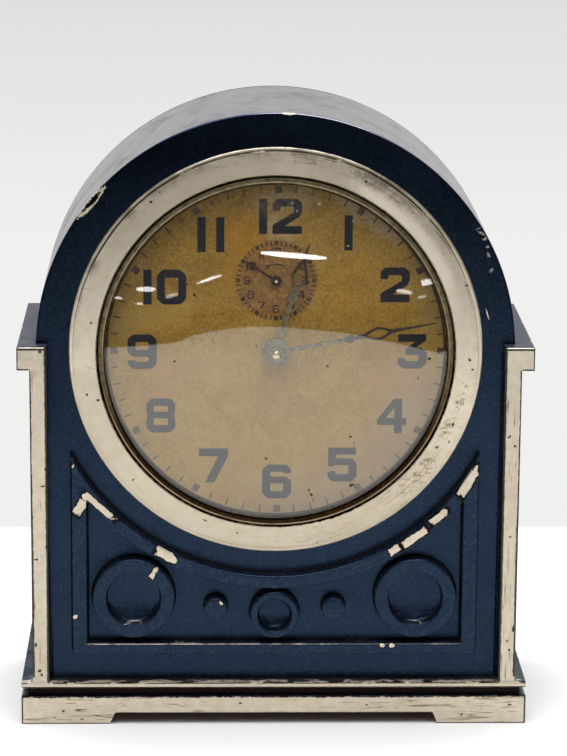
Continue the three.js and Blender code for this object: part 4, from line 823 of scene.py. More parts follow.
def dial_look():
    """Aged paper dial: mottled amber, browner at the upper left, with a pinkish alarm ring."""
    L = Look("dial_paper")
    rel = L.vec("SUBTRACT", L.co, (0, 0, ZC))
    s = L.node("ShaderNodeSeparateXYZ")
    L.put(s.inputs[0], rel)
    x, z = s.outputs[0], s.outputs[2]
    big = L.noise(0.045, 4, 0.6, 0.4)
    mid = L.noise(0.16, 5, 0.68, 0.5)
    fine = L.noise(1.5, 4, 0.68)
    c = L.mix(L.ramp(big, 0.34, 0.66), (0.330, 0.200, 0.036), (0.295, 0.165, 0.020))
    slope = L.add(L.mul(z, 0.020), L.add(L.mul(x, -0.016), L.mul(L.sub(mid, 0.5), 0.9)))
    c = L.mix(L.ramp(slope, 0.15, 1.2, 0.0, 0.68), c, (0.225, 0.126, 0.014))
    c = L.mix(L.ramp(L.add(L.mul(z, -0.02), L.mul(L.sub(big, 0.5), 1.4)), 0.10, 0.85, 0.0, 0.7), c, (0.400, 0.252, 0.052))
    # warmer, redder clouds
    c = L.mix(L.ramp(L.add(mid, L.mul(L.sub(big, 0.5), 0.4)), 0.52, 0.72, 0.0, 0.55), c, (0.285, 0.138, 0.022))
    glow = L.ramp(L.spots(L.mul(L.sub(mid, 0.5), 1.8), [(-7, ZC + 26, 7, 8, 20, False), (16, ZC + 14, 6, 9, 0, False)]), 1.2, 0.2)
    c = L.mix(L.mul(glow, 0.60), c, (0.360, 0.160, 0.005))
    # painted reflection: pale haze of light on the glass, painted onto the paper under the top
    glass_haze_reflection = L.ramp(L.spots(L.mul(L.sub(mid, 0.5), 1.8), [(2.0, ZC + 35.5, 8, 3.6, 0, False), (21.5, ZC + 31.3, 11, 2.5, -37, False), (0.5, ZC + 29, 4.5, 3.5, 0, False)]), 1.3, 0.3)
    c = L.mix(L.mul(glass_haze_reflection, 0.52), c, (0.42, 0.36, 0.26))
    # cooler olive mottling
    c = L.mix(L.ramp(L.noise(0.5, 5, 0.7, 0.3), 0.52, 0.72, 0.0, 0.35), c, (0.185, 0.118, 0.026))
    sub = L.vec("LENGTH", L.vec("MULTIPLY", L.vec("SUBTRACT", L.co, (0, 0, ZC + ALARM_DZ)), (1, 0, 1)))
    c = L.mix(L.ramp(L.add(sub, L.mul(L.sub(fine, 0.5), 0.8)), 9.9, 9.2, 0.0, 0.76), c, (0.198, 0.092, 0.044))
    c = L.mix(L.ramp(fine, 0.46, 0.78, 0.0, 0.34), c, (0.165, 0.085, 0.018))
    c = L.mix(L.ramp(L.noise(0.42, 6, 0.75, 0.6), 0.48, 0.66, 0.0, 0.42), c, (0.375, 0.238, 0.052))
    c = L.mix(L.ramp(L.noise(0.30, 6, 0.75, 0.9), 0.54, 0.72, 0.0, 0.50), c, (0.185, 0.098, 0.012))
    # uneven tone of the old paper, coarse and fine
    tone = L.add(L.mul(L.noise(1.35, 6, 0.85), 0.80), L.mul(L.noise(0.17, 5, 0.70, 0.9), 0.20))
    half = L.ramp(z, 4, -4)
    dark = L.lerp(half, L.ramp(tone, 0.500, 0.400, 0.0, 0.51), L.ramp(tone, 0.62, 0.32, 0.0, 0.24))
    pale = L.lerp(half, L.ramp(tone, 0.500, 0.60, 0.0, 0.43), L.ramp(tone, 0.405, 0.645, 0.0, 0.52))
    c = L.mix(dark, c, (0.112, 0.060, 0.007))
    c = L.mix(pale, c, L.mix(half, (0.58, 0.370, 0.062), (0.53, 0.355, 0.100)))
    # faint pink and yellow clouds on the lower half
    cloud = L.noise(0.105, 4, 0.62, 0.7)
    c = L.mix(L.mul(half, L.ramp(cloud, 0.50, 0.64, 0.0, 0.40)), c, (0.395, 0.205, 0.082))
    c = L.mix(L.mul(half, L.ramp(cloud, 0.49, 0.36, 0.0, 0.34)), c, (0.405, 0.300, 0.062))
    # orange bloom beside the 11, greyer bloom along the left and right edges
    bloom = L.ramp(L.spots(L.mul(L.sub(big, 0.5), 2.0), [(-8.5, ZC + 27, 4.5, 7, 25, False), (-10.5, ZC + 17, 4, 5, 0, False)]), 1.3, 0.1)
    c = L.mix(L.mul(bloom, 0.42), c, (0.400, 0.175, 0.004))
    # paler above the 9, greyer towards the lower right edge
    light = L.ramp(L.spots(L.mul(L.sub(mid, 0.5), 1.6), [(-27, ZC + 9, 14, 5, 20, False)]), 1.25, 0.3)
    c = L.mix(L.mul(light, 0.46), c, (0.40, 0.27, 0.075))
    out = L.math("SQRT", L.add(L.mul(x, x), L.mul(z, z)))
    cool = L.mul(L.ramp(L.add(out, L.mul(L.sub(mid, 0.5), 7.0)), 24, 34), L.mul(L.ramp(z, -1, -12), L.ramp(x, -16, 4)))
    c = L.mix(L.mul(cool, 0.48), c, (0.300, 0.222, 0.150))
    grey = L.mul(L.ramp(L.math("ABSOLUTE", L.add(x, L.mul(L.sub(mid, 0.5), 8.0))), 28, 38), L.ramp(z, -4, 8))
    c = L.mix(L.mul(grey, 0.38), c, (0.255, 0.190, 0.085))
    d, cell = L.cells(0.20)
    q = L.node("ShaderNodeSeparateColor")
    L.put(q.inputs[0], cell)
    fleck = L.mul(L.ramp(L.sub(d, L.ramp(q.outputs[0], 0.62, 1.0, 0.0, 0.055)), 0.016, -0.012), L.ramp(q.outputs[1], 0.30, 0.40))
    c = L.mix(L.mul(fleck, 0.7), c, (0.060, 0.032, 0.012))
    stain = L.ramp(L.spots(L.mul(L.sub(fine, 0.5), 1.2), [(18.6, ZC - 32.4, 0.5, 0.35, 40, False), (17.4, ZC - 31.4, 0.25, 0.22, 0, False), (18.5, ZC - 22.3, 0.2, 0.45, 0, False), (9.0, ZC - 36.0, 0.3, 0.25, 0, False), (-20.5, ZC + 15.5, 0.35, 0.3, 0, False), (33.2, ZC - 6.6, 0.3, 0.45, 0, False), (-4.5, ZC + 1.0, 0.2, 0.5, 10, False)]), 1.1, 0.7)
    c = L.mix(L.mul(stain, 0.85), c, (0.035, 0.018, 0.008))
    L.set(color=c, rough=L.lerp(mid, 0.55, 0.75), normal=L.bump(L.add(fine, mid), 0.012, 0.6))
    L.bsdf.inputs["Specular IOR Level"].default_value = 0.2
    return L.mat


def ink_look():
    """Dark printed figures, thinned by wear."""
    L = Look("dial_ink")
    n = L.noise(1.3, 5, 0.7)
    c = L.mix(L.ramp(n, 0.40, 0.70), (0.0125, 0.0130, 0.0185), (0.0250, 0.0235, 0.0260))
    c = L.mix(L.ramp(L.noise(2.2, 5, 0.75), 0.60, 0.70, 0.0, 0.6), c, (0.14, 0.085, 0.036))
    # lighter on the lower half: painted reflection of the pale table in the glass
    c = L.mix(L.ramp(L.z, ZC + 8, ZC - 8, 0.0, 0.6), c, (0.042, 0.044, 0.042))
    faded = L.mul(L.mul(L.ramp(L.z, ZC + 29.5, ZC + 35.0), L.ramp(L.math("ABSOLUTE", L.x), 9.0, 6.5)), L.ramp(L.noise(0.6, 4, 0.7), 0.38, 0.60, 0.25, 0.85))
    c = L.mix(faded, c, (0.118, 0.100, 0.074))
    L.set(color=c, rough=L.lerp(n, 0.5, 0.7), normal=L.bump(n, 0.006, 0.5))
    L.bsdf.inputs["Specular IOR Level"].default_value = 0.08
    return L.mat


def faint_ink_look():
    """Brown-black print of the minute marks and the alarm ring."""
    L = Look("dial_ink_brown")
    n = L.noise(1.1, 5, 0.72)
    c = L.mix(L.ramp(n, 0.36, 0.62), (0.018, 0.011, 0.009), (0.115, 0.064, 0.030))
    # lighter on the lower half: painted reflection of the pale table in the glass
    c = L.mix(L.ramp(L.z, ZC + 8, ZC - 8, 0.0, 0.70), c, (0.125, 0.088, 0.040))
    c = L.mix(L.mul(L.ramp(L.z, ZC + 28, ZC + 34), 0.45), c, (0.150, 0.110, 0.062))
    L.set(color=c, rough=L.lerp(n, 0.5, 0.72), normal=L.bump(n, 0.006, 0.5))
    L.bsdf.inputs["Specular IOR Level"].default_value = 0.2
    return L.mat


def hand_look():
    """Nickelled steel, still grey along the stems, gone brown towards the points."""
    L = Look("hand_nickel")
    r = L.vec("LENGTH", L.vec("MULTIPLY", L.vec("SUBTRACT", L.co, (0, 0, ZC)), (1, 0, 1)))
    mid = L.noise(0.9, 5, 0.65)
    old = L.ramp(L.add(r, L.mul(L.sub(mid, 0.5), 7.0)), 13.5, 19.5)
    c = L.mix(L.ramp(mid, 0.35, 0.68), (0.225, 0.204, 0.135), (0.130, 0.112, 0.068))
    c = L.mix(L.mul(old, 0.92), c, (0.036, 0.026, 0.017))
    rough = L.lerp(mid, 0.34, 0.54)
    L.set(color=c, rough=rough, metal=0.8, normal=L.bump(L.add(mid, L.noise(3.0, 3, 0.6)), 0.015, 0.8))
    return L.mat


def glass_look():
    """Domed glass with faint smears; lamps shine through it."""
    L = Look("crystal_glass")
    n = L.noise(0.12, 5, 0.65, 0.5)
    L.set(
        color=(0.975, 0.975, 0.965), trans=1.0, ior=1.62, metal=0.0,
        rough=L.ramp(n, 0.45, 0.80, 0.0, 0.025), normal=L.bump(L.noise(0.06, 2, 0.5), 0.02, 0.35),
    )
    path = L.node("ShaderNodeLightPath")
    clear = L.node("ShaderNodeBsdfTransparent")
    clear.inputs[0].default_value = (0.90, 0.90, 0.89, 1)
    m = L.node("ShaderNodeMixShader")
    L.nt.links.new(path.outputs["Is Shadow Ray"], m.inputs[0])
    L.nt.links.new(L.bsdf.outputs[0], m.inputs[1])
    L.nt.links.new(clear.outputs[0], m.inputs[2])
    L.nt.links.new(m.outputs[0], L.out.inputs[0])
    return L.mat


def fleck_look(name, a, b):
    """Crumbs of one kind, uneven in tone."""
    L = Look(name)
    n = L.noise(3.0, 4, 0.7)
    L.set(color=L.mix(L.ramp(n, 0.35, 0.65), a, b), rough=L.lerp(n, 0.7, 0.9), normal=L.bump(n, 0.02, 0.7))
    L.bsdf.inputs["Specular IOR Level"].default_value = 0.1
    return L.mat


def lacquer_look():
    """Black lacquered sheet of the back cover, scratched round the keys."""
    L = Look("cover_lacquer")
    mid = L.noise(0.35, 5, 0.62)
    c = L.mix(L.ramp(mid, 0.38, 0.70), (0.016, 0.016, 0.017), (0.030, 0.029, 0.028))
    lines = L.noise(1.0, 4, 0.65, 0.4, L.stretched(0.22, 1, 2.4, 28))
    c = L.mix(L.ramp(lines, 0.66, 0.72, 0.0, 0.6), c, (0.14, 0.125, 0.10))
    near = None
    for px, pz in (T, M, C, A):
        d = L.vec("LENGTH", L.vec("MULTIPLY", L.vec("SUBTRACT", L.co, (px, 0, pz + ZC)), (1, 0, 1)))
        near = d if near is None else L.least(near, d)
    rub = L.mul(L.ramp(near, 9.5, 2.6), L.ramp(L.noise(0.9, 5, 0.7), 0.52, 0.62))
    c = L.mix(L.mul(rub, 0.7), c, (0.32, 0.25, 0.13))
    L.set(color=c, rough=L.lerp(mid, 0.30, 0.48), metal=L.mul(rub, 0.7), normal=L.bump(L.add(mid, L.mul(lines, 0.6)), 0.02, 0.7))
    return L.mat


ENAMEL = enamel_look()
RELIEF = relief_look()
CREVICE_GRIME_SHADE = crevice_look()
TRIM = trim_look()
PLINTH = plinth_look()
RING = ring_look()
SIGHT = sight_look()
DIAL = dial_look()
INK = ink_look()
FAINT = faint_ink_look()
GLASS = glass_look()
LACQUER = lacquer_look()
GRIME = fleck_look("glass_grime", (0.016, 0.010, 0.006), (0.045, 0.028, 0.014))
DUST = fleck_look("glass_dust", (0.36, 0.33, 0.27), (0.24, 0.21, 0.16))
HAND = hand_look()
ALARM_STEEL = metal_look("alarm_hand_blued", (0.072, 0.045, 0.034), (0.036, 0.022, 0.017), (0.32, 0.50), 1.2, 0.4, 0.4, 0.012)
BRASS = metal_look("movement_brass", (0.66, 0.47, 0.20), (0.52, 0.345, 0.125), (0.24, 0.40), 0.45, 0.35, 0.4, 0.012)
KEY_BRASS = metal_look("key_brass", (0.62, 0.45, 0.20), (0.44, 0.30, 0.115), (0.26, 0.44), 0.6, 0.45, 0.5, 0.02)
NUT_BRASS = metal_look("pin_brass", (0.74, 0.64, 0.42), (0.60, 0.48, 0.27), (0.20, 0.34), 1.4, 0.25, 0.3, 0.01)
STEEL = metal_look("movement_steel", (0.56, 0.56, 0.56), (0.42, 0.42, 0.425), (0.22, 0.38), 0.6, 0.3, 0.35, 0.012)
SPRING = metal_look("spring_steel", (0.30, 0.32, 0.37), (0.18, 0.195, 0.24), (0.22, 0.36), 0.5, 0.3, 0.3, 0.012)
BELL_STEEL = metal_look("bell_nickel", (0.60, 0.59, 0.56), (0.46, 0.45, 0.42), (0.18, 0.32), 0.4, 0.3, 0.35, 0.012)
SCREW = metal_look("screw_steel", (0.42, 0.41, 0.39), (0.27, 0.26, 0.245), (0.28, 0.46), 1.0, 0.45, 0.6, 0.02)


# ------------------------------------------------------------------ case casting
def outline_of(sx, foot, step, ax, top_r, n=96):
    """Upright sides, a small step out under the arch, then the arch."""
    return (
        [(-sx, foot), (sx, foot), (sx, step), (ax, step)]
        + arc(0, ZC, top_r, 0, 180, n)
        + [(-ax, step), (-sx, step)]
    )


def hollow_top(hw, z0, r, n=64):
    half = math.degrees(math.asin(hw / r))
    return [(-hw, z0), (hw, z0)] + arc(0, ZC, r, -90 + half, -90 - half, n)


def make_case():
    S = Shape()
    # shell: front face, rounded front edge, sides, rear rim, cavity
    front = [
        (52.20, 90.6, 0.55, 4.10), (52.42, 90.6, 0.31, 4.13), (52.58, 90.6, 0.14, 4.22), (52.66, 90.6, 0.04, 4.37), (52.68, 90.6, 0.0, 4.62),
    ]
    def fall(x, z, share=1.0):
        return 0.72 * share * max(0.0, (z - ZC) / ARCH_R)

    loops, flats = [], []
    for k, (sx, step, inset, y) in enumerate(front):
        o = outline_of(sx, 9.4, step, ARCH_R - inset, ARCH_R - inset)
        flats.append(o)
        loops.append(S.add([from_feet(x, z, y + fall(x, z)) for x, z in o]))
    for sx, step, inset, y in ((52.70, 89.0, 0.0, 5.65), (54.35, 86.6, 0.0, 5.70), (54.4, 86.4, 0.0, 6.2), (54.4, 86.4, 0.0, 50.3), (54.37, 86.4, 0.08, 50.72), (54.2, 86.4, 0.26, 50.93), (54.0, 86.4, 0.5, 51.0)):
        o = outline_of(sx, 9.4, step, ARCH_R - inset, ARCH_R - inset)
        loops.append(S.add([from_feet(x, z, y) for x, z in o]))
    back_flat = None
    for grow, y in ((0.42, 51.0), (0.22, 50.96), (0.06, 50.8), (0.0, 50.5), (0.0, 6.3), (-0.1, 5.95), (-0.5, 5.7)):
        o = outline_of(CAV_HW + grow, FLOOR_TOP - grow, 86.6, CAV_R + grow, CAV_R + grow)
        back_flat = o
        loops.append(S.add([from_feet(x, z, y) for x, z in o]))
    S.loft(loops, 0)
    n = 96
    hole = circle(0, ZC, 46.0, 2 * n)
    hf = S.add([from_feet(x, z, 4.1) for x, z in hole])
    hb = S.add([from_feet(x, z, 5.7) for x, z in hole])
    S.loft([hf, hb], 0)
    # upper half of the front: bands from the hole out to the edge
    rim = loops[0][4:4 + n + 1]
    bands = [hf[: n + 1]]
    for r, share in ((48.0, 0.0), (49.2, 0.13), (50.8, 0.34), (52.6, 0.60), (54.2, 0.84)):
        bands.append(S.add([from_feet(x, z, 4.1 + fall(x, z, share)) for x, z in arc(0, ZC, r, 0, 180, n)]))
    bands.append(rim)
    for p, q in zip(bands, bands[1:]):
        for i in range(n):
            S.face((p[i], p[i + 1], q[i + 1], q[i]), 0)
    # lower half: what is left between the hole, the ends of those bands and the straight sides
    right_end = [bd[0] for bd in bands[1:-1]]
    left_end = [bd[-1] for bd in reversed(bands[1:-1])]
    low = loops[0][4 + n:] + loops[0][:5]
    ring_low = [hf[0]] + [hf[-k] for k in range(1, n)] + [hf[n]]
    idx = low + list(reversed(right_end)) + ring_low + list(reversed(left_end))
    S.cap([[(S.v[i][0], S.v[i][2]) for i in idx]], [idx], 0)
    S.cap([back_flat, hole], [loops[-1], hb], 0)

    # pilasters, capitals and ledge: one front outline, then the parts behind it
    half = [(BASE_HW, LEDGE_Z0), (BASE_HW, LEDGE_Z1), (PIL_OUT, LEDGE_Z1), (PIL_OUT, CAP_Z0), (CAP_HW, CAP_Z0), (CAP_HW, CAP_Z1), (PIL_IN, CAP_Z1), (PIL_IN, LEDGE_Z1)]
    trim = half + [(-x, z) for x, z in reversed(half)]
    ease = [0.15, 0.25, 1.35, 0.12, 0.20, 0.40, 0.25, 0.10]
    trim = eased(trim, ease + ease[::-1], 5)
    S.prism(trim, 0.0, 6.0, 0.36, 0, mat=1, steps=4)
    for s in (-1, 1):
        rear = [(PIL_OUT, 9.3), (PIL_OUT, CAP_Z0), (CAP_HW, CAP_Z0), (CAP_HW, CAP_Z1), (54.3, CAP_Z1), (54.3, 9.3)]
        rear = eased([(s * x, z) for x, z in rear], [0, 0.12, 0.20, 0.40, 0.1, 0], 5)
        S.prism(rear, 6.0, DEPTH, 0, 0.3, mat=1)
    S.prism(eased(rect(-BASE_HW, BASE_HW, LEDGE_Z0, LEDGE_Z1), [0.15, 0.15, 0.25, 0.25], 5), 6.0, DEPTH, 0, 0.25, mat=1)
    floor = rect(-CAV_HW - 0.3, CAV_HW + 0.3, 5.0, 50.4)
    S.prism(floor, 9.0, FLOOR_TOP + 0.02, 0, 0, mat=0, place=upright)

    # raised frame and round bosses
    outer = eased(hollow_top(47.6, 17.05, 53.3), [0.5, 0.5] + [0.45] + [0] * 63 + [0.45], 4)
    field = eased(hollow_top(44.1, 19.7, 56.4), [0.5, 0.5] + [0.45] + [0] * 63 + [0.45], 4)
    wall = [(0.46, 4.17), (0.28, 4.04), (0.13, 3.82), (0.05, 3.40), (0.0, 1.00), (-0.03, 0.78), (-0.11, 0.58), (-0.25, 0.45), (-0.46, RELIEF_Y)]
    # the foot of each wall and boss takes material 3, the near-black crevice finish: grime and painted shade
    grime = [3, 3, 3, 3] + [4] * 6
    S.solid(outer, [(0.46, 4.4)] + wall, [field], grime)
    for s in (-1, 1):
        R, q = 9.64, 6.37
        S.lathe(
            [(0, 4.5), (R + 0.46, 4.5)] + [(R + d, y) for d, y in wall]
            + [(8.0, RELIEF_Y - 0.01), (q + 0.46, RELIEF_Y), (q + 0.25, 0.45), (q + 0.11, 0.58), (q + 0.03, 0.80), (q, 1.05), (q - 0.02, 2.5), (q - 0.12, 2.85), (q - 0.4, 3.10), (5.2, 3.35), (4.0, 3.62), (2.6, 3.84), (1.3, 3.96), (0, 4.0)],
            (s * 33.2, 30.8), 96, [3, 3, 3, 3, 3] + [4] * 40, from_feet,
        )
        R = 2.75
        S.lathe(
            [(0, 4.5), (R + 0.5, 4.5)] + [(R + d * 0.8, y) for d, y in wall] + [(1.6, 0.36), (0.8, 0.335), (0, 0.33)],
            (s * 13.9, 28.2), 48, [3, 3, 3, 3, 3, 4], from_feet,
        )
    R, q = 5.7, 3.95
    S.lathe(
        [(0, 4.5), (R + 0.46, 4.5)] + [(R + d, y) for d, y in wall]
        + [(q + 0.40, RELIEF_Y), (q + 0.22, 0.45), (q + 0.10, 0.58), (q + 0.03, 0.80), (q, 1.05), (q - 0.02, 2.6), (q - 0.12, 2.95), (q - 0.4, 3.25), (2.6, 3.6), (1.3, 3.85), (0, 3.92)],
        (0.0, 26.7), 72, [3, 3, 3, 3, 3] + [4] * 40, from_feet,
    )

    # ring round the dial, with a groove inside its outer lip
    def face_y(r):
        return 2.1 + 1.2 * (r - 41.8) / 6.15

    def dip(a):
        return 0.07 + 0.11 * max(0.0, math.sin(a) + 0.25)

    S.lathe(
        [
            (41.40, 5.35), (41.42, 3.0), (41.46, 2.72), (41.55, 2.48), (41.70, 2.28), (41.92, 2.15), (42.2, face_y(42.2)), (44.0, face_y(44.0)), (45.8, face_y(45.8)),
            (46.85, face_y(46.85)), (47.05, face_y(47.05)),
            (47.16, lambda a: face_y(47.16) + 0.7 * dip(a)), (47.28, lambda a: face_y(47.28) + dip(a)), (47.40, lambda a: face_y(47.40) + 0.7 * dip(a)),
            (47.52, face_y(47.52)), (47.75, face_y(47.75)), (47.92, 3.31), (48.04, 3.44), (48.11, 3.66), (48.15, 4.0), (48.15, 5.35),
        ],
        (0.0, 0.0), 192, 2, from_dial,
    )

    # lugs for the cover screws and pads for the movement, inside
    for x, z in ((-35.9, 35.9), (35.9, 35.9), (-50.6, 14.2 - ZC), (50.6, 14.2 - ZC)):
        S.lathe([(1.15, 34.3), (3.0, 34.3), (3.4, 34.8), (3.4, 40.4), (3.15, 40.7), (1.15, 40.7)], (x, z), 24, 0)
    for x, z in ((-37.5, 30.5), (37.5, 30.5), (-37.5, -30.5), (37.5, -30.5)):
        S.lathe([(1.15, 5.4), (2.8, 5.4), (2.8, 11.3), (2.5, 11.6), (1.15, 11.6)], (x, z), 24, 0)
    return S.build("case_shell", [ENAMEL, TRIM, RING, CREVICE_GRIME_SHADE, RELIEF], "case", ["case_casting"])


def make_plinth():
    S = Shape()
    cut = [(-38.7, 0.0), (-38.62, 0.55), (-38.3, 1.2), (-37.95, 2.05), (-37.4, 2.52), (-36.7, 2.6), (36.7, 2.6), (37.4, 2.52), (37.95, 2.05), (38.3, 1.2), (38.62, 0.55), (38.7, 0.0)]
    front = [(-BASE_HW, 0.0)] + cut + [(BASE_HW, 0.0), (BASE_HW, BASE_H), (-BASE_HW, BASE_H)]
    front = eased(front, [0.18] + [0.15] + [0] * 10 + [0.15] + [0.18, 0.32, 0.32], 3)
    S.prism(front, 0.0, DEPTH, 0.30, 0.30, mat=0, steps=4)
    neck = eased(rect(-BASE_HW + NECK_IN, BASE_HW - NECK_IN, NECK_IN, DEPTH - NECK_IN), 0.4, 3)
    S.prism(neck, BASE_H - 0.5, NECK_H, 0, 0.15, mat=0, place=upright)
    ob = S.build("plinth_block", [PLINTH], "case", ["base_plinth"])
    # hollow under the block, where the two base screws sit
    cutter = Shape()
    cutter.prism(eased(rect(-34, 34, 4, DEPTH - 4), 1.2, 4), 1.0, 5.4, 0, 0.5, place=upright)
    for x in (-20, 20):
        cutter.lathe([(0, 4.9), (1.6, 4.9), (1.6, 9.5), (0, 9.5)], (x, 25.0), 32, 0, upright)
    me = bpy.data.meshes.new("plinth_cutter")
    me.from_pydata([metres(p) for p in cutter.v], [], cutter.f)
    bm = bmesh.new()
    bm.from_mesh(me)
    bmesh.ops.recalc_face_normals(bm, faces=bm.faces)
    bm.to_mesh(me)
    bm.free()
    tool = bpy.data.objects.new("plinth_cutter", me)
    SCENE.collection.objects.link(tool)
    ob.modifiers.clear()
    b = ob.modifiers.new("hollow", "BOOLEAN")
    b.operation = "DIFFERENCE"
    b.solver = "EXACT"
    b.use_self = True
    b.object = tool
    bpy.context.view_layer.update()
    dg = bpy.context.evaluated_depsgraph_get()
    made = bpy.data.meshes.new_from_object(ob.evaluated_get(dg), depsgraph=dg)
    ob.modifiers.clear()
    ob.data = made
    made.materials.clear()
    made.materials.append(PLINTH)
    made.polygons.foreach_set("use_smooth", [True] * len(made.polygons))
    made.set_sharp_from_angle(angle=math.radians(34))
    w = ob.modifiers.new("even_normals", "WEIGHTED_NORMAL")
    w.keep_sharp = True
    w.weight = 60
    bpy.data.objects.remove(tool)
    return ob


# ------------------------------------------------------------------ dial, print, glass, hands
DIGITS = {
    "0": ([(1.35, 0), (5.45, 0), (6.8, 1.35), (6.8, 6.85), (5.45, 8.2), (1.35, 8.2), (0, 6.85), (0, 1.35)], [[(1.85, 1.9), (4.95, 1.9), (4.95, 6.3), (1.85, 6.3)]], 6.8),
    "1": ([(0, 0), (1.9, 0), (1.9, 8.2), (0, 8.2)], [], 1.9),
    "2": ([(0, 5.45), (0, 7.2), (1.05, 8.2), (5.7, 8.2), (6.75, 7.2), (6.8, 5.2), (6.3, 4.05), (2.85, 1.85), (6.8, 1.85), (6.8, 0), (0, 0), (0, 2.05), (4.95, 5.1), (4.95, 6.1), (4.65, 6.4), (1.85, 6.4), (1.75, 5.45)], [], 6.8),
    "3": ([(0.1, 8.2), (6.6, 8.2), (6.6, 6.7), (4.2, 5.0), (5.6, 4.95), (6.8, 3.8), (6.8, 1.3), (5.5, 0), (1.2, 0), (0, 1.2), (0, 2.45), (1.85, 2.45), (1.85, 1.8), (4.9, 1.8), (4.9, 3.25), (1.9, 3.3), (1.9, 4.75), (4.1, 6.4), (0.1, 6.4)], [], 6.8),
    "4": ([(3.94, 0), (5.75, 0), (5.75, 1.95), (6.8, 1.95), (6.8, 3.6), (5.75, 3.6), (5.75, 8.2), (3.8, 8.2), (0, 3.3), (0, 1.95), (3.94, 1.95)], [[(3.94, 3.6), (3.94, 6.1), (2.0, 3.6)]], 6.8),
    "5": ([(0.1, 8.2), (6.6, 8.2), (6.6, 6.5), (1.95, 6.5), (1.95, 5.6), (5.6, 5.6), (6.8, 4.5), (6.8, 1.25), (5.55, 0), (1.1, 0), (0, 1.05), (0, 2.3), (1.45, 2.6), (1.9, 2.2), (1.9, 1.75), (4.9, 1.75), (4.9, 3.95), (1.6, 3.95), (1.3, 3.65), (0.1, 3.65)], [], 6.8),
    "6": ([(1.3, 0), (5.5, 0), (6.8, 1.2), (6.8, 4.15), (5.6, 5.3), (1.9, 5.3), (1.9, 6.45), (4.9, 6.45), (4.95, 6.1), (6.75, 6.1), (6.75, 7.1), (5.6, 8.2), (1.3, 8.2), (0, 7.0), (0, 1.2)], [[(1.9, 1.75), (4.9, 1.75), (4.9, 3.65), (1.9, 3.65)]], 6.8),
    "7": ([(0, 8.2), (6.8, 8.2), (6.8, 6.4), (3.6, 0), (1.5, 0), (4.5, 6.3), (0, 6.3)], [], 6.8),
    "8": ([(1.2, 0), (5.6, 0), (6.8, 1.2), (6.8, 3.35), (6.4, 4.1), (6.75, 4.8), (6.75, 7.1), (5.6, 8.2), (1.2, 8.2), (0.05, 7.1), (0.05, 4.8), (0.4, 4.1), (0, 3.35), (0, 1.2)], [[(1.75, 1.8), (5.05, 1.8), (5.05, 3.45), (1.75, 3.45)], [(1.75, 5.0), (5.05, 5.0), (5.05, 6.4), (1.75, 6.4)]], 6.8),
}
o9, h9, w9 = DIGITS["6"]
DIGITS["9"] = ([(6.8 - x, 8.2 - z) for x, z in o9], [[(6.8 - x, 8.2 - z) for x, z in h] for h in h9], w9)


SOFT = {"0": 0.55, "1": 0.07, "2": 0.20, "3": 0.24, "4": 0.12, "5": 0.26, "6": 0.45, "7": 0.10, "8": 0.42, "9": 0.45}


def number(S, text, cx, cz, k, gap, turn=0.0, depth=0.03, mat=0, thin=0.0):
    """Figures centred on a point of the dial, k times full size."""
    width = sum(DIGITS[c][2] for c in text) + gap * (len(text) - 1)
    at = -width / 2
    for c in text:
        outer, holes, w = DIGITS[c]

        def put(pts):
            return turned_outline([((x + at) * k, (z - 4.1) * k) for x, z in pts], turn, (cx, cz))

        o = put(eased(ccw(outer), SOFT[c], 2))
        hs = [put(eased(ccw(h), 0.18, 1)) for h in holes]
        if thin:
            o = offset(ccw(o), -thin)
            hs = [offset(ccw(h), thin) for h in hs]
        S.prism(o, DIAL_Y - depth, DIAL_Y + 0.03, 0, 0, hs, mat, from_dial)
        at += w + gap


def make_print():
    S = Shape()
    places = {
        "12": (0.9, 31.5), "1": (16.6, 27.7), "2": (27.5, 15.5), "3": (31.7, -0.25), "4": (27.2, -15.7), "5": (15.7, -27.4), "6": (0.4, -31.5),
        "7": (-14.4, -27.6), "8": (-26.7, -15.6), "9": (-31.0, -0.4), "10": (-25.7, 14.9), "11": (-15.1, 27.2),
    }
    for text, (x, z) in places.items():
        number(S, text, x, z, 1.0, 2.4 if text == "11" else 1.2)
    for i in range(60):
        if i % 5 == 0:
            box = rect(-0.78, 0.78, 37.05, 38.75)
        else:
            box = rect(-0.17, 0.17, 37.15, 38.95)
        S.prism(turned_outline(box, 6 * i, (0.45, -0.1)), DIAL_Y - 0.03, DIAL_Y + 0.03, place=from_dial, mat=1)
    # alarm ring
    for i in range(48):
        if i % 4 == 0:
            box = rect(-0.48, 0.48, 8.35, 9.35)
        else:
            box = rect(-0.16, 0.16, 8.25, 9.35)
        S.prism(turned_outline(box, 7.5 * i, A), DIAL_Y - 0.03, DIAL_Y + 0.03, place=from_dial, mat=1)
    for h in range(1, 13):
        a = math.radians(30 * h)
        number(S, str(h), A[0] + 6.75 * math.sin(a), A[1] + 6.75 * math.cos(a), 0.24, 1.0, mat=1, thin=0.03)
    # small arc with an arrow head above the alarm arbor
    bow = arc(A[0], A[1], 3.95, 118, 62, 12) + arc(A[0], A[1], 3.62, 62, 118, 12)
    S.prism(bow, DIAL_Y - 0.03, DIAL_Y + 0.03, place=from_dial, mat=1)
    tip = [polar(A, 4.45, 118), polar(A, 3.12, 118), polar(A, 3.80, 134)]
    S.prism(tip, DIAL_Y - 0.03, DIAL_Y + 0.03, place=from_dial, mat=1)
    return S.build("dial_print", [INK, FAINT], "case", (), 20)


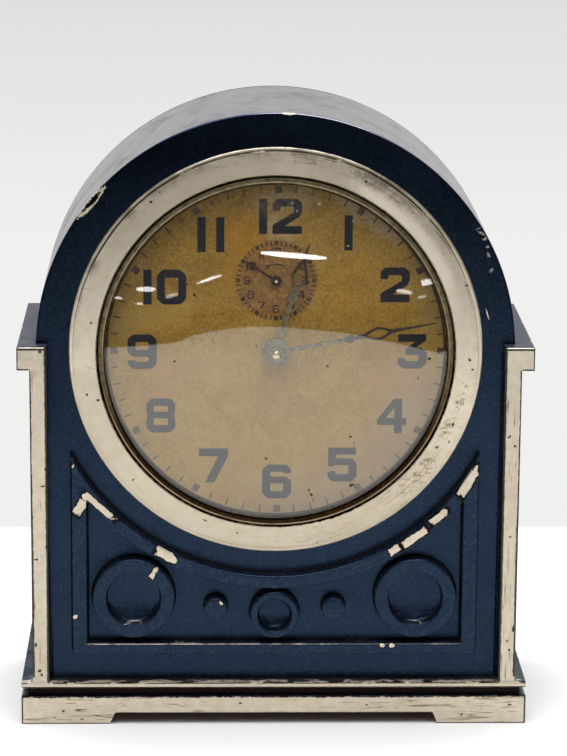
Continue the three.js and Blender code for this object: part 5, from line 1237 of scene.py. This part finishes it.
def make_crystal():
    edge, sag, y_edge, thick = 40.3, 6.0, 2.45, 1.1
    R = (edge**2 + sag**2) / (2 * sag)

    def dome(r):
        return y_edge - sag + R - math.sqrt(R * R - r * r)

    steps = [edge * math.sin(math.pi / 2 * i / 28) for i in range(1, 28)]
    front = [(0, dome(0))] + [(r, dome(r)) for r in steps] + [(edge - 0.12, dome(edge - 0.12) + 0.02), (edge, dome(edge) + 0.16)]
    back = [(edge, dome(edge) + thick - 0.16), (edge - 0.12, dome(edge - 0.12) + thick - 0.02)] + [(r, dome(r) + thick) for r in reversed(steps)] + [(0, dome(0) + thick)]
    S = Shape()
    S.lathe(front + back, C, 144, 0)
    return S.build("glass_dome", [GLASS], "case", ["crystal"], 60)


def make_flecks():
    """Crumbs of grime and dust lying on the glass."""
    sag, y_edge, edge = 6.0, 2.45, 40.3
    R = (edge**2 + sag**2) / (2 * sag)
    grime = [(17.74, -31.35, 0.42), (17.35, -19.08, 0.30), (8.41, -33.57, 0.36), (7.83, -32.31, 0.26), (35.49, -0.99, 0.34), (-2.26, -24.27, 0.28), (-18.95, 14.53, 0.36), (-23.48, -1.08, 0.26), (11.7, -1.86, 0.24)]
    dust = [(9.65, 35.21, 0.34), (16.26, 25.78, 0.24), (4.53, 33.74, 0.24), (3.45, 35.47, 0.26), (17.41, 31.27, 0.22), (24.99, 29.04, 0.20), (25.29, 28.38, 0.18), (27.48, 27.5, 0.20), (3.07, 30.94, 0.18), (-22.92, 18.06, 0.18)]
    S = Shape()
    for mat, group in enumerate((grime, dust)):
        for k, (x, z, r) in enumerate(group):
            y = y_edge - sag + R - math.sqrt(R * R - x * x - z * z)
            o = []
            for i in range(11):
                a = 2 * math.pi * i / 11
                w = 1.25 * r * (0.86 + 0.24 * math.sin(2 * a + 1.7 * k) + 0.16 * math.sin(3 * a + 2.9 * k + mat))
                o.append((x + w * math.cos(a), z + 0.85 * w * math.sin(a)))
            S.prism(o, y - 0.06, y + 0.16, 0.05, 0.0, mat=mat, place=from_dial, steps=2)
    return S.build("glass_flecks", [GRIME, DUST], "case", (), 50)


def make_sight_ring():
    S = Shape()
    S.lathe(
        [
            (41.00, 1.72), (41.11, 1.78), (41.15, 1.90), (41.15, 5.5), (39.05, 5.5), (39.0, 5.44), (39.06, 5.3), (39.45, 4.6), (39.76, 4.05), (39.84, 3.97), (40.66, 3.97), (40.66, 2.25),
            (40.10, 2.02), (40.04, 1.96), (40.04, 1.80), (40.12, 1.72), (40.5, 1.68),
        ],
        C, 192, 0,
    )
    return S.build("glass_retainer", [SIGHT], "case", ["sight_ring"], 40)


def hand_outline(hub, bulge, loop0, loop_w, mid, loop1, tip, w):
    right = [
        (w * 0.95, math.sqrt(hub * hub - (w * 0.95) ** 2)), (w * 0.86, bulge * 0.5), (w * 0.80, bulge - 1.7), (w * 0.95, bulge - 1.15), (w * 1.5, bulge - 0.55), (w * 1.85, bulge - 0.15), (w * 1.85, bulge + 0.15),
        (w * 1.45, bulge + 0.55), (w * 0.92, bulge + 0.95), (w * 0.80, bulge + 1.25), (w * 0.92, loop0), ((w * 0.92 + loop_w) / 2 + 0.14, (loop0 + mid) / 2), (loop_w - 0.08, mid - 0.45), (loop_w, mid),
        (loop_w - 0.12, mid + 0.5), ((w * 0.9 + loop_w) / 2 + 0.05, (loop1 + mid) / 2 + 0.1), (w * 0.9, loop1), (w * 0.62, loop1 + 0.25 * (tip - loop1)), (0.13, tip),
    ]
    left = [(-x, z) for x, z in reversed(right)]
    a = math.degrees(math.acos(w * 0.95 / hub))
    rim = arc(0, 0, hub, 180 - a, 360 + a, 40)[1:-1]
    eye = [(0, loop0 + 0.85), ((loop_w - 0.5) * 0.55, (loop0 + mid) / 2 + 0.2), (loop_w - 0.6, mid), ((loop_w - 0.5) * 0.5, (loop1 + mid) / 2 - 0.05), (0, loop1 - 0.8)]
    eye = eye + [(-x, z) for x, z in reversed(eye[1:-1])]
    return right + left + rim, eye


def make_hands():
    S = Shape()
    o, e = hand_outline(3.0, 13.4, 15.2, 1.95, 18.3, 22.4, 26.5, 0.62)
    S.prism(turned_outline(o, HOUR_ANGLE), 4.2, 4.55, 0.09, 0.05, [turned_outline(e, HOUR_ANGLE), circle(0, 0, 2.0, 40)], place=from_dial, steps=2)
    S.build("hour_hand_blade", [HAND], "hour_work", ["hour_hand"])
    S = Shape()
    o, e = hand_outline(3.4, 17.5, 20.6, 1.6, 24.2, 27.3, 37.7, 0.55)
    S.prism(turned_outline(o, MINUTE_ANGLE), 3.2, 3.55, 0.09, 0.05, [turned_outline(e, MINUTE_ANGLE), circle(0, 0, 1.32, 40)], place=from_dial, steps=2)
    S.lathe([(1.34, 3.28), (1.34, 2.98), (1.42, 2.90), (2.15, 2.90), (2.25, 2.96), (2.30, 3.05), (2.30, 3.28)], C, 48, 0)
    S.lathe([(2.72, 3.26), (2.74, 3.10), (2.82, 3.07), (3.10, 3.07), (3.18, 3.12), (3.2, 3.26)], C, 56, 0)
    S.build("minute_hand_blade", [HAND], "centre_arbor", ["minute_hand"])
    S = Shape()
    half = [(0.28, 1.187), (0.24, 4.8), (0.34, 5.4), (0.66, 6.1), (0.80, 6.6), (0.62, 7.15), (0.28, 7.8), (0.18, 8.3), (0.10, 9.4)]
    a = math.degrees(math.acos(0.28 / 1.22))
    o = half + [(-x, z) for x, z in reversed(half)] + arc(0, 0, 1.22, 180 - a, 360 + a, 28)[1:-1]
    S.prism(turned_outline(o, ALARM_ANGLE, A), 5.05, 5.35, 0.08, 0.04, [circle(A[0], A[1], 0.68, 32)], place=from_dial, steps=2)
    S.lathe([(0, 5.3), (0.62, 5.3), (0.62, 4.98), (0.50, 4.86), (0.28, 4.78), (0, 4.75)], A, 28, 1)
    S.lathe([(0.66, 5.2), (0.66, 4.98), (0.74, 4.92), (0.94, 4.92), (1.02, 4.98), (1.02, 5.2)], A, 36, 0)
    S.build("alarm_hand_blade", [ALARM_STEEL, NUT_BRASS], "alarm_setting", ["alarm_hand"])
    S = Shape()
    S.lathe([(0, -0.02), (0.30, 0.0), (0.58, 0.06), (0.82, 0.18), (0.98, 0.36), (1.06, 0.60), (1.07, 0.9), (1.07, 2.65), (1.0, 2.75), (0.86, 2.75), (0.86, 1.1), (0, 1.1)], C, 40, 0)
    S.build("hand_nut_cap", [NUT_BRASS], "centre_arbor", ["hand_nut"])


# ------------------------------------------------------------------ back
def make_cover():
    S = Shape()
    o = [(53.0, 0.0)] + arc(0, 0, 53.0, 0, 180, 72)[1:] + [(-53.0, FLOOR_TOP + 0.4 - ZC), (53.0, FLOOR_TOP + 0.4 - ZC)]
    o = eased(o, [0] * 73 + [1.2, 1.2], 4)

    def slot(p, r, half, a0, a1):
        e0, e1 = math.degrees(half / r), math.degrees(half / r)
        a, b = polar(p, r, a0 + e0), polar(p, r, a1 - e1)
        out = arc(p[0], p[1], r + half, a0 + e0, a1 - e1, 20)
        out += arc(b[0], b[1], half, a1 - e1, a1 - e1 + 180, 8)[1:-1]
        out += arc(p[0], p[1], r - half, a1 - e1, a0 + e0, 20)
        out += arc(a[0], a[1], half, a0 + e0 + 180, a0 + e0 + 360, 8)[1:-1]
        return out

    holes = [circle(*C, 2.2, 36), circle(*A, 2.0, 36), circle(*T, 2.6, 40), circle(*M, 2.6, 40)]
    holes += [slot(BALANCE, 12.4, 1.3, 52, 128), slot(STOP, 12.0, 1.4, 174, 226)]
    holes += [circle(BELL[0], BELL[1], 1.9, 28)] + [circle(*polar(BELL, 6.2, 60 * i), 1.9, 28) for i in range(6)]
    screws = [(-35.9, 35.9), (35.9, 35.9), (-50.6, 14.2 - ZC), (50.6, 14.2 - ZC)]
    holes += [circle(x, z, 1.25, 24) for x, z in screws]
    S.prism(o, COVER0, COVER1, 0.15, 0.22, holes, 0, from_dial)
    # pressed lips round the arbor holes
    for p, r in ((C, 2.2), (A, 2.0), (T, 2.6), (M, 2.6)):
        S.lathe([(r, 41.7), (r, 42.0), (r + 0.12, 42.12), (r + 0.40, 42.14), (r + 0.75, 42.0), (r + 1.05, 41.82), (r + 1.2, 41.7)], p, 48, 0)
    S.build("rear_cover_sheet", [LACQUER], "case", ["back_cover"])
    # slotted screws
    for i, p in enumerate(screws):
        S = Shape()
        y, r = COVER1 + 0.1, 2.3
        S.lathe([(0, y - 5.5), (0.7, y - 5.5), (0.95, y - 5.2), (0.95, y + 0.1), (r - 0.05, y), (r, y + 0.08), (r, y + 0.78), (0, y + 0.78)], p, 40, 0)
        turn = -40.0 * i + 12
        for s in (-1, 1):
            h = 0.30
            a = math.degrees(math.asin(h / r))
            d = arc(0, 0, r, a, 180 - a, 24)
            d = [(u, s * v) for u, v in d]
            S.prism(turned_outline(ccw(d), turn, p), y + 0.7, y + 1.5, 0, 0.32, place=from_dial, steps=4)
        S.build("cover_screw_head_%d" % (i + 1), [SCREW], "case", ["cover_screw_%d" % (i + 1)])


def make_key(name, p, deg, body, node):
    S = Shape()
    S.lathe(
        [(0, 46.6), (1.55, 46.6), (1.55, 43.5), (1.7, 43.4), (3.2, 43.4), (3.36, 43.5), (3.4, 43.7), (3.4, 44.3), (3.28, 44.45), (3.28, 44.65), (3.4, 44.8), (3.4, 47.2), (3.3, 47.5), (3.0, 47.95), (2.6, 48.6), (2.1, 49.5), (1.75, 50.2), (1.45, 50.55), (0.9, 50.75), (0, 50.8)],
        p, 48, 0,
    )
    ear = [(1.0, 46.4), (1.9, 45.95), (3.2, 45.8), (4.8, 46.0), (6.4, 46.6), (7.8, 47.5), (8.8, 48.6), (9.3, 49.8), (9.4, 51.0), (9.1, 52.3), (8.4, 53.4), (7.4, 54.1), (6.2, 54.4), (5.0, 54.2), (4.0, 53.6), (3.0, 52.6), (2.2, 51.5), (1.5, 50.6), (1.0, 50.1)]
    for k in (0, 180):
        f = math.radians(k + deg)

        def place(u, y, w, f=f):
            return (p[0] + u * math.cos(f) + w * math.sin(f), y, p[1] + ZC - u * math.sin(f) + w * math.cos(f))

        S.prism(ear, -0.9, 0.9, 0.45, 0.45, (), 0, place, 4)
    S.build(name, [KEY_BRASS], body, [node])


def make_knob(name, p, r, bore, y0, y1, body, node):
    S = Shape()
    teeth = 40

    def knurl(k):
        return lambda a: k - 0.13 * (1 + math.cos(teeth * a))

    S.lathe(
        [(0, 46.4), (bore, 46.4), (bore, y0 + 0.1), (bore + 0.12, y0), (r * 0.58, y0), (r * 0.62, y0 + 0.15), (r * 0.62, y0 + 1.45), (r * 0.70, y0 + 1.6), (r - 0.55, y0 + 1.65),
         (knurl(r - 0.25), y0 + 1.78), (knurl(r), y0 + 2.1), (knurl(r), y1 - 1.15), (knurl(r - 0.25), y1 - 0.8), (r - 0.6, y1 - 0.55), (r * 0.80, y1 - 0.40), (r * 0.76, y1 - 0.12), (r * 0.66, y1), (r * 0.45, y1 - 0.05), (r * 0.36, y1 - 0.32), (0, y1 - 0.36)],
        p, 240, 0,
    )
    S.build(name, [KEY_BRASS], body, [node], 50)


def make_levers():
    S = Shape()
    y0, y1 = 31.7, 32.4
    o = turned_outline([(0.9, 2.4), (0.75, 13.2), (-0.75, 13.2), (-0.9, 2.4)], 0, BALANCE)
    S.prism(o, y0, y1, 0.12, 0.12, place=from_dial)
    S.lathe([(0.9, y0), (2.5, y0), (2.6, y0 + 0.1), (2.6, y1 - 0.1), (2.5, y1), (0.9, y1)], BALANCE, 40, 0)
    tab = eased(rect(BALANCE[0] - 0.7, BALANCE[0] + 0.7, BALANCE[1] + 11.7, BALANCE[1] + 13.1), 0.25, 3)
    S.prism(tab, y0 + 0.1, 43.8, 0, 0.3, place=from_dial)
    S.build("regulator_pointer", [SCREW], "regulator", ["regulator_lever"])
    S = Shape()
    f = polar(STOP, 12.0, 190)
    S.lathe([(0, 30.2), (0.8, 30.2), (0.8, 31.5), (1.7, 31.5), (1.7, 32.5), (1.55, 32.6), (0, 32.6)], STOP, 32, 0)
    o = turned_outline([(1.0, 0.5), (0.9, 12.9), (-0.9, 12.9), (-1.0, 0.5)], -100, STOP)
    S.prism(o, 31.72, 32.48, 0.12, 0.12, place=from_dial)
    teeth = 18
    S.lathe(
        [(0, 31.8), (0.85, 31.8), (0.85, 44.1), (1.5, 44.2), (lambda a: 1.82 - 0.06 * (1 + math.cos(teeth * a)), 44.4), (lambda a: 1.9 - 0.06 * (1 + math.cos(teeth * a)), 44.6), (lambda a: 1.9 - 0.06 * (1 + math.cos(teeth * a)), 45.5), (1.6, 45.85), (1.1, 45.98), (0, 46.0)],
        f, 108, 0,
    )
    S.build("alarm_stop_finger", [KEY_BRASS], "alarm_stop", ["alarm_stop_lever"])


make_case()
make_plinth()
make_print()
make_crystal()
make_flecks()
make_sight_ring()
make_hands()
make_cover()
make_key("time_key_wing", T, 25, "time_winder", "time_winding_key")
make_key("alarm_key_wing", M, -25, "alarm_winder", "alarm_winding_key")
make_knob("time_set_knob_turned", C, 5.0, 1.22, 43.2, 49.6, "centre_arbor", "time_set_knob")
make_knob("alarm_set_knob_turned", A, 4.2, 1.06, 43.2, 49.0, "alarm_setting", "alarm_set_knob")
make_levers()

# ------------------------------------------------------------------ finishes of the pieces kept from the frame
KEPT = {
    "dial": DIAL, "alarm_set_arbor": ALARM_STEEL, "base_screw_left": SCREW, "base_screw_right": SCREW,
    "front_plate": BRASS, "back_plate": BRASS, "bell": BELL_STEEL, "bell_screw": SCREW, "bell_spacer": BRASS,
    "time_mainspring": SPRING, "alarm_mainspring": SPRING, "hairspring": SPRING,
    "hour_wheel": BRASS, "minute_wheel": BRASS, "alarm_wheel": BRASS, "cannon_pinion": STEEL,
    "time_great_wheel": BRASS, "centre_wheel": BRASS, "third_wheel": BRASS, "fourth_wheel": BRASS, "escape_wheel": BRASS,
    "balance_wheel": BRASS, "alarm_great_wheel": BRASS, "alarm_escape_wheel": BRASS,
}
for name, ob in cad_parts.items():
    if ob.hide_render:
        continue
    look = KEPT.get(name, STEEL)
    if name.startswith("pillar"):
        look = BRASS
    if name.startswith("movement_screw"):
        look = SCREW
    ob.data.materials.clear()
    ob.data.materials.append(look)

# ------------------------------------------------------------------ stage, light, camera
def stage_look(name, a, b):
    L = Look(name)
    n = L.noise(0.01, 3, 0.5)
    L.set(color=L.mix(n, a, b), rough=L.lerp(n, 0.75, 0.85))
    L.bsdf.inputs["Specular IOR Level"].default_value = 0.1
    return L.mat


def stage_sheet(name, pts, z, look):
    me = bpy.data.meshes.new(name)
    tris = tessellate_polygon([[Vector((x, y, 0)) for x, y in pts]])
    me.from_pydata([metres((x, y, z)) for x, y in pts], [], [tuple(t) for t in tris])
    bm = bmesh.new()
    bm.from_mesh(me)
    for f in bm.faces:
        f.normal_update()
        if f.normal.z < 0:
            f.normal_flip()
    bm.to_mesh(me)
    bm.free()
    me.materials.append(look)
    ob = bpy.data.objects.new(name, me)
    SCENE.collection.objects.link(ob)
    return ob


TABLE = stage_look("table_pale", (0.84, 0.84, 0.835), (0.88, 0.88, 0.88))
DARK = stage_look("flag_dark", (0.02, 0.02, 0.02), (0.03, 0.03, 0.03))
stage_sheet("table_top", [(-1500, -2300), (1500, -2300), (1500, 171), (-1500, 171)], 0.0, TABLE)
# flag that shades the far table in reflections only
flag = stage_sheet(
    "reflection_flag",
    [(-1500, -2300), (1500, -2300), (1500, -250), (520, -290), (275, -330), (261, -472), (220, -680), (108, -855), (34, -940), (-42, -950), (-122, -860), (-175, -725), (-204, -610), (-198, -535), (-220, -480), (-245, -435), (-270, -397), (-292, -361), (-330, -322), (-520, -290), (-1500, -250)],
    0.4, DARK,
)
flag.visible_camera = False
flag.visible_diffuse = False
flag.visible_shadow = False


def lamp(name, at, size, radiance, aim=(0, 0, 85.0), roll=0.0, colour=(1, 1, 1), shape="RECTANGLE"):
    """A flat soft light of a given surface brightness, facing a point."""
    data = bpy.data.lights.new(name, "AREA")
    data.shape = shape
    data.size, data.size_y = size[0] * 0.001, size[1] * 0.001
    data.energy = radiance * math.pi * data.size * data.size_y * (math.pi / 4 if shape == "ELLIPSE" else 1.0)
    data.color = colour
    ob = bpy.data.objects.new(name, data)
    SCENE.collection.objects.link(ob)
    a, b = Vector(metres(at)), Vector(metres(aim))
    q = (b - a).to_track_quat("-Z", "Y")
    ob.matrix_world = Matrix.Translation(a) @ q.to_matrix().to_4x4() @ Matrix.Rotation(math.radians(roll), 4, "Z")
    ob.visible_camera = False
    return ob


lamp("softbox_top", (0, -150, 1700), (1700, 1500), 5.2, (0, 0, 0))
lamp("softbox_front", (-250, -1250, 1500), (1100, 700), 2.2)
lamp("strip_main", (172, -1971, 420), (500, 36), 14.0, (3.7, -1.5, 113.3), -5.6, shape="ELLIPSE")
lamp("strip_left", (-453, -1949, 236), (205, 15), 9.0, (-15.5, -1.5, 107.7), 20.9, shape="ELLIPSE")
lamp("strip_far_left", (-903, -1799, 137), (150, 37), 7.0, (-29.9, 0.6, 104.9), 5.6, shape="ELLIPSE")
lamp("strip_low_left", (-945, -1777, 25), (66, 14), 6.0, (-31.4, 0.6, 101.5), 6.4, shape="ELLIPSE")
lamp("strip_edge_left", (-1091, -1697, 58), (74, 16), 6.0, (-36.4, 2.0, 102.6), -3.9, shape="ELLIPSE")
lamp("strip_mid_left", (-723, -1875, 102), (100, 26), 3.0, (-24.1, -0.7, 103.7), 20.9, shape="ELLIPSE")
lamp("strip_right", (1129, -1671, 174), (96, 44), 6.0, (34.7, 1.9, 106.4), 6.1)
lamp("strip_low_right", (972, -1763, 118), (130, 30), 5.0, (29.3, 0.4, 104.5), -12.4, shape="ELLIPSE")
lamp("strip_edge_right", (1087, -1698, 71), (66, 15), 4.0, (33.3, 1.2, 103.1), 1.2, shape="ELLIPSE")

world = bpy.data.worlds.new("studio")
SCENE.world = world
world.use_nodes = True
wn = world.node_tree
wn.nodes.clear()
out = wn.nodes.new("ShaderNodeOutputWorld")
mixer = wn.nodes.new("ShaderNodeMixShader")
seen = wn.nodes.new("ShaderNodeBackground")
seen.inputs[0].default_value = (0.835, 0.85, 0.86, 1)
seen.inputs[1].default_value = 1.0
room = wn.nodes.new("ShaderNodeBackground")
room.inputs[1].default_value = 1.0
tc = wn.nodes.new("ShaderNodeTexCoord")
sp = wn.nodes.new("ShaderNodeSeparateXYZ")
wn.links.new(tc.outputs["Generated"], sp.inputs[0])
mr = wn.nodes.new("ShaderNodeMapRange")
mr.interpolation_type = "SMOOTHSTEP"
wn.links.new(sp.outputs[1], mr.inputs[0])
mr.inputs[1].default_value = -0.15
mr.inputs[2].default_value = 0.75
cm = wn.nodes.new("ShaderNodeMix")
cm.data_type = "RGBA"
wn.links.new(mr.outputs[0], cm.inputs[0])
cm.inputs[6].default_value = (0.10, 0.10, 0.105, 1)
cm.inputs[7].default_value = (1.12, 1.09, 1.05, 1)
wn.links.new(cm.outputs[2], room.inputs[0])
lp = wn.nodes.new("ShaderNodeLightPath")
wn.links.new(lp.outputs["Is Camera Ray"], mixer.inputs[0])
fall = wn.nodes.new("ShaderNodeMapRange")
wn.links.new(sp.outputs[2], fall.inputs[0])
fall.inputs[1].default_value = -0.185
fall.inputs[2].default_value = -0.105
pale = wn.nodes.new("ShaderNodeMix")
pale.data_type = "RGBA"
wn.links.new(fall.outputs[0], pale.inputs[0])
pale.inputs[6].default_value = (0.875, 0.875, 0.862, 1)
pale.inputs[7].default_value = (0.735, 0.735, 0.728, 1)
wn.links.new(pale.outputs[2], seen.inputs[0])
wn.links.new(room.outputs[0], mixer.inputs[1])
wn.links.new(seen.outputs[0], mixer.inputs[2])
wn.links.new(mixer.outputs[0], out.inputs[0])

cam_data = bpy.data.cameras.new("camera")
cam_data.sensor_fit = "VERTICAL"
cam_data.sensor_width = 36.0
cam_data.sensor_height = 36.0
cam_data.lens = 148.437
cam_data.clip_start, cam_data.clip_end = 0.05, 20.0
cam = bpy.data.objects.new("camera", cam_data)
SCENE.collection.objects.link(cam)
yaw, pitch, roll = math.radians(1.586), math.radians(13.084), math.radians(0.408)
fwd = Vector((math.sin(yaw) * math.cos(pitch), math.cos(yaw) * math.cos(pitch), -math.sin(pitch)))
right = Vector((math.cos(yaw), -math.sin(yaw), 0.0))
upv = right.cross(fwd)
r2 = math.cos(roll) * right + math.sin(roll) * upv
u2 = -math.sin(roll) * right + math.cos(roll) * upv
rot = Matrix((r2, u2, -fwd)).transposed().to_4x4()
cam.matrix_world = Matrix.Translation(Vector(metres((-17.757, -702.436, 247.58)))) @ rot
SCENE.camera = cam
SCENE.view_settings.view_transform = "Standard"
